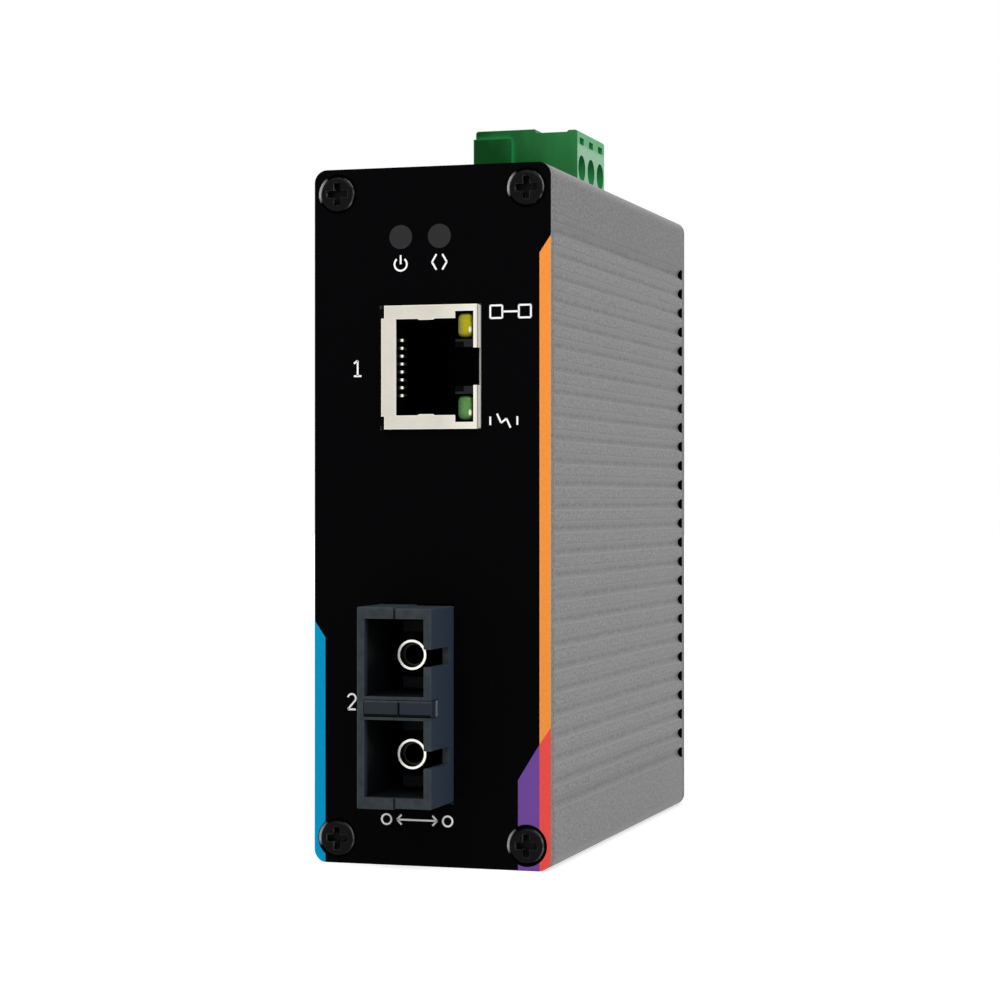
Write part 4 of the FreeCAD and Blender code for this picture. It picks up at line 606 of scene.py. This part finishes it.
def brushed(name, colour, roughness, stretch, dark_from=None, dark_to=None):
    """Rolled or plated metal with painted highlights on its edges, and painted shade past one depth
    and before another where they are given.
    """
    look = Look(name, colour, roughness, metallic=1.0)
    lines, dulled = rolled(look, stretch)
    # Painted highlight along the edges
    shown = look.mix(look.edges(0.08 * MM, 0.5), dulled, shade(colour, 1.15))
    dark = shade(colour, 0.03)
    # Painted shade past one depth, and at the very front before another
    if dark_from is not None:
        shown = look.mix(look.fade("Y", dark_from, dark_from + DARK_FADE), shown, dark)
    if dark_to is not None:
        shown = look.mix(look.fade("Y", dark_to - TIP_FADE, dark_to, 1.0, 0.0), shown, dark)
    look.paint(shown)
    look.roughen(lines, roughness - 0.08, roughness + 0.12)
    look.bump(lines, 0.004 * MM, 0.5)
    return look


# In from the shield's right side: where painted light makes it lighter, and its line of painted
# shade along the fold
LIT_FROM, LIT_TO = 5 * MM, 1 * MM
FOLD_FROM, FOLD_TO = 0.2 * MM, 0.14 * MM
FOLD_DARK = 0.8


def shield_metal(name):
    """Nickel-plated sheet with painted highlights on its edges, painted light near its right and on
    its side, and a line of painted shade along its fold.
    """
    look = Look(name, NICKEL, 0.38, metallic=0.5)
    lines, dulled = rolled(look, ROLL_Z)
    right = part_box("jack_shield")[1].x
    lit = look.fade("X", right - LIT_FROM, right - LIT_TO, 0.0, 0.4)
    # Painted highlight along the edges
    edged = look.mix(look.edges(0.22 * MM, 1.2), look.mix(lit, dulled, NICKEL_LIT),
                     NICKEL_LIT)
    # Painted shade along the fold
    fold = look.both(look.fade("X", right - FOLD_FROM, right - FOLD_TO), look.facing("Y", 0.5))
    folded = look.mix(look.maths("MULTIPLY", fold, FOLD_DARK), edged, NICKEL_FOLD_SHADE)
    # Painted light on the side turned right, which is also made less metallic
    side = look.facing("X", 0.5)
    look.paint(look.mix(side, folded, NICKEL_LIT))
    look.metallise(side, 0.5, 0.0)
    look.roughen(lines, 0.3, 0.5)
    look.bump(lines, 0.004 * MM, 0.5)
    return look


# The reach of the painted light on the shelves: back from the yellow lamp's front, left of its left
# side, to where all is shelf on the right, and past the inner end of each lamp along Z
SHELF_DEEP = 0.6 * MM
SHELF_LEFT = 0.9 * MM
SHELF_RIGHT_FROM, SHELF_RIGHT_TO = 0.9 * MM, 1.0 * MM
SHELF_ENDS = 0.5 * MM


def jack_plastic(name):
    """Matt black moulding, with painted light on the narrow shelves beside the two lamps."""
    look = moulded(name, JACK_BLACK, 0.5, specular=0.02, edge=2.0)
    painted = look.shader.inputs["Base Color"].links[0].from_socket
    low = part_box("jack_lamp_yellow")[0]
    front = look.both(look.before("Y", low.y + SHELF_DEEP), look.past("X", low.x - SHELF_LEFT))
    outer = look.fade("X", low.x + SHELF_RIGHT_FROM, low.x + SHELF_RIGHT_TO)
    beside_yellow = look.past("Z", low.z - SHELF_ENDS)
    beside_green = look.before("Z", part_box("jack_lamp_green")[1].z + SHELF_ENDS)
    shelf = look.either(outer, look.either(beside_yellow, beside_green))
    # Painted light on the front faces of the shelves
    look.paint(look.mix(look.both(front, shelf, look.facing("Y", 0.5)), painted, JACK_SHELF_LIT))
    return look


# The place of the painted glint, in from the right side and, as a share of the half height, below
# the middle, its half sizes, and how far light spreads inside the lens
GLINT_IN = 0.36 * MM
GLINT_LOW = 0.36
GLINT_HALF_WIDE = 0.2 * MM
GLINT_HALF_TALL = 0.46 * MM
LENS_BLEED = 0.3 * MM


def lens(name, pale, deep, rim, box):
    """A tinted lens, paler to the left, with painted shade towards its right edge, its top and
    bottom and in its pocket, and a painted glint low on its right.
    """
    low, high = box
    look = Look(name, deep, 0.24, specular=0.12)
    grain = look.noise(0.35 * MM)
    middle = (low.z + high.z) / 2
    reach = (high.z - low.z) / 2
    wavy = look.maths("ADD", look.fade("X", low.x, high.x), look.span(grain, 0.3, 0.7, -0.12, 0.12))
    body = look.mix(look.span(wavy, 0.1, 0.5), pale, deep)
    # Painted shade towards the right edge
    ends = look.mix(look.span(wavy, 0.84, 1.0, 0.0, 0.7), body, rim)
    # Painted shade towards the top and the bottom
    shaded_ends = look.mix(look.span(look.away("Z", middle), 0.45 * reach, reach, 0.0, 0.65), ends, rim)

    def squared(axis, centre, half):
        """The square of the distance from a centre, counted in half widths."""
        offset = look.maths("SUBTRACT", look.along(axis), centre)
        return look.maths("POWER", look.maths("MULTIPLY", offset, 1 / half), 2.0)

    # Painted glint: a pale spot that stands in for a reflection of light
    glint = look.maths("ADD", squared("X", high.x - GLINT_IN, GLINT_HALF_WIDE),
                       squared("Z", middle - GLINT_LOW * reach, GLINT_HALF_TALL))
    shown = look.mix(look.span(glint, 1.0, 0.3), shaded_ends, LENS_GLINT)
    # Painted shade in the lamp's pocket
    look.paint(look.mix(look.span(look.openness(1.2 * MM), 0.1, 0.5), rim, shown))
    look.set("Subsurface Weight", 0.1)
    look.set("Subsurface Radius", (LENS_BLEED, LENS_BLEED, LENS_BLEED))
    look.set("Subsurface Scale", 1.0)
    look.set("Coat Weight", 0.15)
    look.set("Coat Roughness", 0.1)
    look.roughen(grain, 0.16, 0.3)
    return look


def window(name):
    """A smoked light-pipe end, smooth and dark grey, with a fine moulded haze."""
    look = Look(name, SMOKE_GREY, 0.4, specular=0.1)
    haze = look.noise(0.2 * MM)
    look.paint(look.mottle(0.25 * MM, 0.10))
    look.roughen(haze, 0.34, 0.5)
    look.bump(haze, 0.006 * MM, 0.5)
    return look


def sintered(name):
    """Ferrite with a slightly pitted skin."""
    look = Look(name, FERRITE_GREY, 0.6, specular=0.3)
    pits = look.cells(0.5 * MM)
    look.paint(look.mottle(0.3 * MM, 0.2))
    look.roughen(pits, 0.5, 0.75)
    look.bump(pits, 0.03 * MM, 0.6)
    return look


def glazed(name, colour):
    """Fired ceramic or cast resin, smooth and slightly cloudy, with painted brown shade deep
    inside.
    """
    look = Look(name, colour, 0.2, specular=0.15)
    cloud = look.noise(0.8 * MM)
    lit = look.span(look.openness(4 * MM), 0.7, 1.0)
    # Painted shade where the piece sits deep inside
    look.paint(look.mix(lit, CERAMIC_SHADE, look.mottle(0.8 * MM, 0.05)))
    look.roughen(cloud, 0.14, 0.3)
    return look


# What each material slot of the CAD record looks like
FINISHES = {
    "case_metal": case_metal,
    "black_plate": black_plate,
    "black_screw": black_screw,
    "ink_orange": lambda name: ink(name, screen(240, 147, 64)),
    "ink_red": lambda name: ink(name, screen(230, 79, 71)),
    "ink_purple": lambda name: ink(name, screen(108, 71, 149)),
    "ink_blue": lambda name: ink(name, screen(1, 149, 199)),
    "board": board,
    "chip_black": lambda name: moulded(name, screen(30, 30, 32), 0.55),
    "tin": lambda name: brushed(name, screen(205, 205, 200), 0.35, ROLL_Y),
    "ferrite": sintered,
    "capacitor_can": lambda name: brushed(name, screen(190, 192, 196), 0.3, ROLL_Z),
    "black_plastic": jack_plastic,
    "lamp_clear": lambda name: glazed(name, screen(216, 220, 214)),
    "lamp_window": window,
    "shield_metal": shield_metal,
    "gold": lambda name: brushed(
        name, screen(255, 251, 240), 0.25, ROLL_Y,
        dark_from=CONTACT_DARK_FROM, dark_to=CONTACT_DARK_TO),
    "lens_yellow": lambda name: lens(
        name, screen(120, 118, 56), screen(170, 162, 0), screen(56, 62, 0),
        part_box("jack_lamp_yellow")),
    "lens_green": lambda name: lens(
        name, screen(50, 96, 60), screen(86, 136, 66), screen(16, 48, 30),
        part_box("jack_lamp_green")),
    "port_plastic": port_plastic,
    "barrel_metal": lambda name: brushed(
        name, screen(240, 238, 232), 0.22, ROLL_Y, dark_from=BARREL_DARK_FROM),
    "ceramic": lambda name: glazed(name, screen(232, 230, 222)),
    "terminal_green": terminal_green,
    "zinc_screw": lambda name: brushed(name, screen(168, 168, 164), 0.4, ROLL_Y),
    "bracket_metal": lambda name: moulded(name, screen(24, 24, 25), 0.5, edge=3.0),
    "latch_plastic": lambda name: moulded(name, screen(22, 22, 24), 0.5, edge=2.4),
    "spring_steel": lambda name: brushed(name, screen(186, 188, 190), 0.28, ROLL_Z),
}


def dress_nodes():
    """Gives every CAD node the finish of its material slot."""
    made = {}
    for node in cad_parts.values():
        slots = [material.name for material in node.data.materials]
        for place, slot in enumerate(slots):
            if slot not in made:
                made[slot] = FINISHES[slot](f"{slot}_finish").material
            node.data.materials[place] = made[slot]


def add_piece(name, work, material):
    """An object of the scene from a bmesh, which is freed."""
    mesh = bpy.data.meshes.new(name)
    work.to_mesh(mesh)
    work.free()
    mesh.materials.append(material)
    piece = bpy.data.objects.new(name, mesh)
    bpy.context.scene.collection.objects.link(piece)
    return piece


# --------------------------------------------------------------------------------------------
# Printed marks: plain numerals and simple shapes in white ink on the front plate
# --------------------------------------------------------------------------------------------

# The ink's stroke and height, the sizes of the marks, and their distances from the lamps, the
# jack and the port
STROKE = 0.24 * MM
INK_HIGH = 0.012 * MM
ARC_STEPS = 28
MARK_HIGH = 2.0 * MM
SMALL_MARK_HIGH = MARK_HIGH * 0.9
LINK_WIDE = 5.4 * MM
SUPPLY_WIDE = 3.6 * MM
PAIR_WIDE = 9.6 * MM
LAMP_MARKS_BELOW = 2.8 * MM
NUMERALS_LEFT = 3.2 * MM
FIBRE_NUMERAL_LEFT = 0.8 * MM
JACK_MARKS_RIGHT = 1.3 * MM
LINK_BELOW_TOP = 2.0 * MM
SUPPLY_ABOVE_FOOT = 0.1 * MM
PAIR_BELOW = 3.4 * MM


def bar(start, end):
    """The outline of a straight stroke."""
    start, end = Vector(start), Vector(end)
    side = (end - start).orthogonal().normalized() * STROKE / 2
    return [[start + side, end + side, end - side, start - side]]


def arc(centre, radius, first, last):
    """The outlines of a round stroke, from one angle in degrees to another."""
    centre = Vector(centre)

    def spoke(step):
        angle = math.radians(first + (last - first) * step / ARC_STEPS)
        out = Vector((math.cos(angle), math.sin(angle)))
        return centre + out * (radius - STROKE / 2), centre + out * (radius + STROKE / 2)

    spokes = [spoke(step) for step in range(ARC_STEPS + 1)]
    return [[a[0], a[1], b[1], b[0]] for a, b in zip(spokes, spokes[1:])]


def path(*points):
    """Straight strokes from point to point."""
    return [outline for start, end in zip(points, points[1:]) for outline in bar(start, end)]


def numeral_one(high):
    """A plain 1, with its foot at the origin."""
    flag = 0.26 * high
    return path((-flag, high - flag * 0.7), (0, high), (0, 0)) + bar((-flag, 0), (flag, 0))


def numeral_two(high):
    """A plain 2, with its foot at the origin."""
    bowl = 0.27 * high
    crown = high - bowl
    first, last = 170, -40
    turn = math.radians(last)
    leaves = (bowl * math.cos(turn), crown + bowl * math.sin(turn))
    return arc((0, crown), bowl, first, last) + path(leaves, (-bowl, 0), (bowl, 0))


def power_mark(high):
    """An open ring with a short bar at its top."""
    radius = 0.42 * high
    return arc((0, radius), radius, 130, 410) + bar((0, radius), (0, high))


def light_mark(high):
    """Two chevrons that point apart."""
    half, gap, reach = high / 2, 0.2 * high, 0.30 * high
    left = path((-gap, high), (-gap - reach, half), (-gap, 0))
    right = path((gap, high), (gap + reach, half), (gap, 0))
    return left + right


def square_ring(left, bottom, side):
    """A square ring with its lower left corner at a point."""
    right, top = left + side, bottom + side
    return path((left, bottom), (right, bottom), (right, top), (left, top), (left, bottom))


def link_mark(wide, high):
    """Two square rings joined by a line."""
    side = 0.8 * high
    low = (high - side) / 2
    middle = high / 2
    ends = square_ring(-wide / 2, low, side) + square_ring(wide / 2 - side, low, side)
    return ends + bar((-wide / 2 + side, middle), (wide / 2 - side, middle))


def supply_mark(wide, high):
    """A zigzag between two short bars."""
    step = wide / 4
    zigzag = path((-step, high), (-step * 0.4, high * 0.35), (step * 0.4, high * 0.65), (step, 0))
    left = bar((-wide / 2, high * 0.2), (-wide / 2, high * 0.8))
    return zigzag + left + bar((wide / 2, high * 0.2), (wide / 2, high * 0.8))


def pair_mark(wide, high):
    """Two rings joined by a long line, with an arrow head towards each."""
    radius, middle = 0.36 * high, high / 2
    reach = wide / 2 - radius
    rings = arc((-reach, middle), radius, 0, 360) + arc((reach, middle), radius, 0, 360)
    tip = reach - radius * 2.2
    back = tip - 0.35 * high
    heads = path((back, high * 0.85), (tip, middle), (back, high * 0.15))
    heads += path((-back, high * 0.85), (-tip, middle), (-back, high * 0.15))
    return rings + heads + bar((-tip, middle), (tip, middle))


def print_mark(name, outlines, x, z, material):
    """Lays thin ink on the front plate, from outlines drawn about the mark's own foot."""
    work = bmesh.new()
    for outline in outlines:
        corners = [work.verts.new((x + point.x, FRONT, z + point.y)) for point in outline]
        work.faces.new(corners)
    raised = bmesh.ops.extrude_face_region(work, geom=list(work.faces))
    moved = [item for item in raised["geom"] if isinstance(item, bmesh.types.BMVert)]
    bmesh.ops.translate(work, verts=moved, vec=(0, -INK_HIGH, 0))
    bmesh.ops.recalc_face_normals(work, faces=list(work.faces))
    piece = add_piece(name, work, material)
    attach(piece, "case")


def print_marks():
    """Places each mark beside the port or lamp that it belongs to."""
    lamps_low, lamps_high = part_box("lamp_windows")
    jack_low, jack_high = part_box("jack_shield")
    port_low, port_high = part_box("transceiver_cover")
    radius = (lamps_high.z - lamps_low.z) / 2
    under_lamps = lamps_low.z - LAMP_MARKS_BELOW
    left = jack_low.x - NUMERALS_LEFT
    right = jack_high.x + JACK_MARKS_RIGHT
    jack_middle = (jack_low.z + jack_high.z) / 2
    port_middle = (port_low.z + port_high.z) / 2
    port_across = (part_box("transceiver_base")[0].x + port_high.x) / 2
    marks = {
        "mark_power": (power_mark(MARK_HIGH), lamps_low.x + radius, under_lamps),
        "mark_light": (light_mark(MARK_HIGH), lamps_high.x - radius, under_lamps),
        "mark_copper": (numeral_one(MARK_HIGH), left, jack_middle - MARK_HIGH / 2),
        "mark_fibre": (numeral_two(MARK_HIGH), left - FIBRE_NUMERAL_LEFT,
                       port_middle - MARK_HIGH / 2),
        "mark_link": (link_mark(LINK_WIDE, MARK_HIGH), right + LINK_WIDE / 2,
                      jack_high.z - LINK_BELOW_TOP),
        "mark_supply": (supply_mark(SUPPLY_WIDE, SMALL_MARK_HIGH), right + SUPPLY_WIDE / 2,
                        jack_low.z + SUPPLY_ABOVE_FOOT),
        "mark_pair": (pair_mark(PAIR_WIDE, SMALL_MARK_HIGH), port_across,
                      port_low.z - PAIR_BELOW),
    }
    material = ink("ink_white_finish", INK_WHITE).material
    for name, (outlines, x, z) in marks.items():
        print_mark(name, outlines, x, z, material)


# --------------------------------------------------------------------------------------------
# A strip of the jack's shield
# --------------------------------------------------------------------------------------------

STRIP_THICK = 0.16 * MM
STRIP_DEEP = 0.5 * MM
STRIP_LONG = 4.8 * MM
STRIP_PROUD = 0.03 * MM


def shield_strip():
    """The cut edge of the shield's side, which shows between its two arms."""
    low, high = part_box("jack_shield")
    work = bmesh.new()
    bmesh.ops.create_cube(work, size=1.0)
    bmesh.ops.scale(work, vec=(STRIP_THICK, STRIP_DEEP, STRIP_LONG), verts=work.verts)
    centre = (high.x - STRIP_THICK / 2, FRONT + STRIP_DEEP / 2 - STRIP_PROUD,
              (low.z + high.z) / 2)
    bmesh.ops.translate(work, vec=centre, verts=work.verts)
    piece = add_piece("shield_strip", work, shield_metal("shield_strip_finish").material)
    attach(piece, "case")


# --------------------------------------------------------------------------------------------
# Latch spring: a copy of the CAD coil, carried with the case in place of the hidden CAD node
# --------------------------------------------------------------------------------------------


def spring_coil():
    """The spring stands on the bracket's post and is pressed by the latch from above."""
    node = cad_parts["latch_spring"]
    coil = bpy.data.objects.new("latch_spring_coil", node.data.copy())
    coil.matrix_world = node.matrix_world
    bpy.context.scene.collection.objects.link(coil)
    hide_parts("latch_spring")
    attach(coil, "case")
    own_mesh(coil)


# --------------------------------------------------------------------------------------------
# Studio: floor, light and camera
# --------------------------------------------------------------------------------------------

AMBIENT = 0.5
FLOOR_GREY = (0.62, 0.62, 0.62)
FLOOR_HALF = 3.0
FLOOR_CELLS = 8
FLOOR_NEAR = 0.2
FLOOR_FAR = 1.2
FLOOR_NEAR_GLOW = 0.6

# Each lamp's name, place from the middle of the part, width, height and power in watts
LAMPS = (
    ("key_right", (0.95, -0.25, 0.0), 0.6, 1.4, 4.7),
    ("front_high", (0.1, -0.75, 0.75), 0.9, 0.5, 7.2),
    ("top_soft", (-0.2, 0.3, 1.0), 0.9, 0.9, 1.5),
)

CAMERA_ACROSS = 104.8 * MM
CAMERA_AHEAD = 310.8 * MM
CAMERA_HIGH = 47.1 * MM
CAMERA_LEVEL = math.radians(90)
CAMERA_TURN = math.radians(17.09)
FOCAL = 91.9
SENSOR_WIDE = 36.0
CLIP_START = 0.01


def seen_directly(tree):
    """1 for camera, glossy and transmission rays, which see the background, and 0 for others."""
    path_node = tree.nodes.new("ShaderNodeLightPath")
    names = ("Is Camera Ray", "Is Glossy Ray", "Is Transmission Ray")
    total = path_node.outputs[names[0]]
    for name in names[1:]:
        node = tree.nodes.new("ShaderNodeMath")
        node.operation = "MAXIMUM"
        tree.links.new(total, node.inputs[0])
        tree.links.new(path_node.outputs[name], node.inputs[1])
        total = node.outputs["Value"]
    return total


def white_room():
    """A world that looks white and lights the part softly from all sides."""
    world = bpy.data.worlds.new("studio_world")
    world.use_nodes = True
    bpy.context.scene.world = world
    tree = world.node_tree
    background = tree.nodes["Background"]
    background.inputs["Color"].default_value = (*WHITE, 1.0)
    level = tree.nodes.new("ShaderNodeMapRange")
    tree.links.new(seen_directly(tree), level.inputs["Value"])
    level.inputs["To Min"].default_value = AMBIENT
    level.inputs["To Max"].default_value = 1.0
    tree.links.new(level.outputs["Result"], background.inputs["Strength"])


def floor():
    """A wide pale floor that looks white and still takes the part's shadow."""
    look = Look("floor_finish", FLOOR_GREY, 0.9, specular=0.0)
    look.set("Emission Color", (*WHITE, 1.0))
    distance = look.node("VectorMath")
    distance.operation = "LENGTH"
    look.link(look.node("TexCoord").outputs["Object"], distance.inputs[0])
    level = look.span(distance.outputs["Value"], FLOOR_NEAR, FLOOR_FAR, FLOOR_NEAR_GLOW, 1.0)
    glow = look.both(seen_directly(look.tree), level)
    look.link(glow, look.shader.inputs["Emission Strength"])
    work = bmesh.new()
    bmesh.ops.create_grid(work, x_segments=FLOOR_CELLS, y_segments=FLOOR_CELLS, size=FLOOR_HALF)
    ground = add_piece("floor", work, look.material)


def softbox(name, place, aim, wide, high, power):
    """A large flat lamp that faces a point on the part."""
    data = bpy.data.lights.new(name, "AREA")
    data.shape = "RECTANGLE"
    data.size = wide
    data.size_y = high
    data.energy = power
    lamp = bpy.data.objects.new(name, data)
    lamp.location = place
    lamp.rotation_euler = (Vector(aim) - Vector(place)).to_track_quat("-Z", "Y").to_euler()
    bpy.context.scene.collection.objects.link(lamp)


def lights(centre):
    """A tall key light from the right, one from high in front and a soft one from above."""
    for name, offset, wide, high, power in LAMPS:
        softbox(name, centre + Vector(offset), centre, wide, high, power)


def camera():
    """A level camera to the right of the front, turned back towards the part."""
    data = bpy.data.cameras.new("camera")
    data.lens = FOCAL
    data.sensor_width = SENSOR_WIDE
    data.clip_start = CLIP_START
    view = bpy.data.objects.new("camera", data)
    view.location = (CAMERA_ACROSS, FRONT - CAMERA_AHEAD, CAMERA_HIGH)
    view.rotation_euler = (CAMERA_LEVEL, 0, CAMERA_TURN)
    bpy.context.scene.collection.objects.link(view)
    bpy.context.scene.camera = view


dress_nodes()
print_marks()
shield_strip()
spring_coil()
white_room()
floor()
lights((CAD_BOX[0] + CAD_BOX[1]) / 2)
camera()
bpy.context.scene.view_settings.view_transform = "Standard"
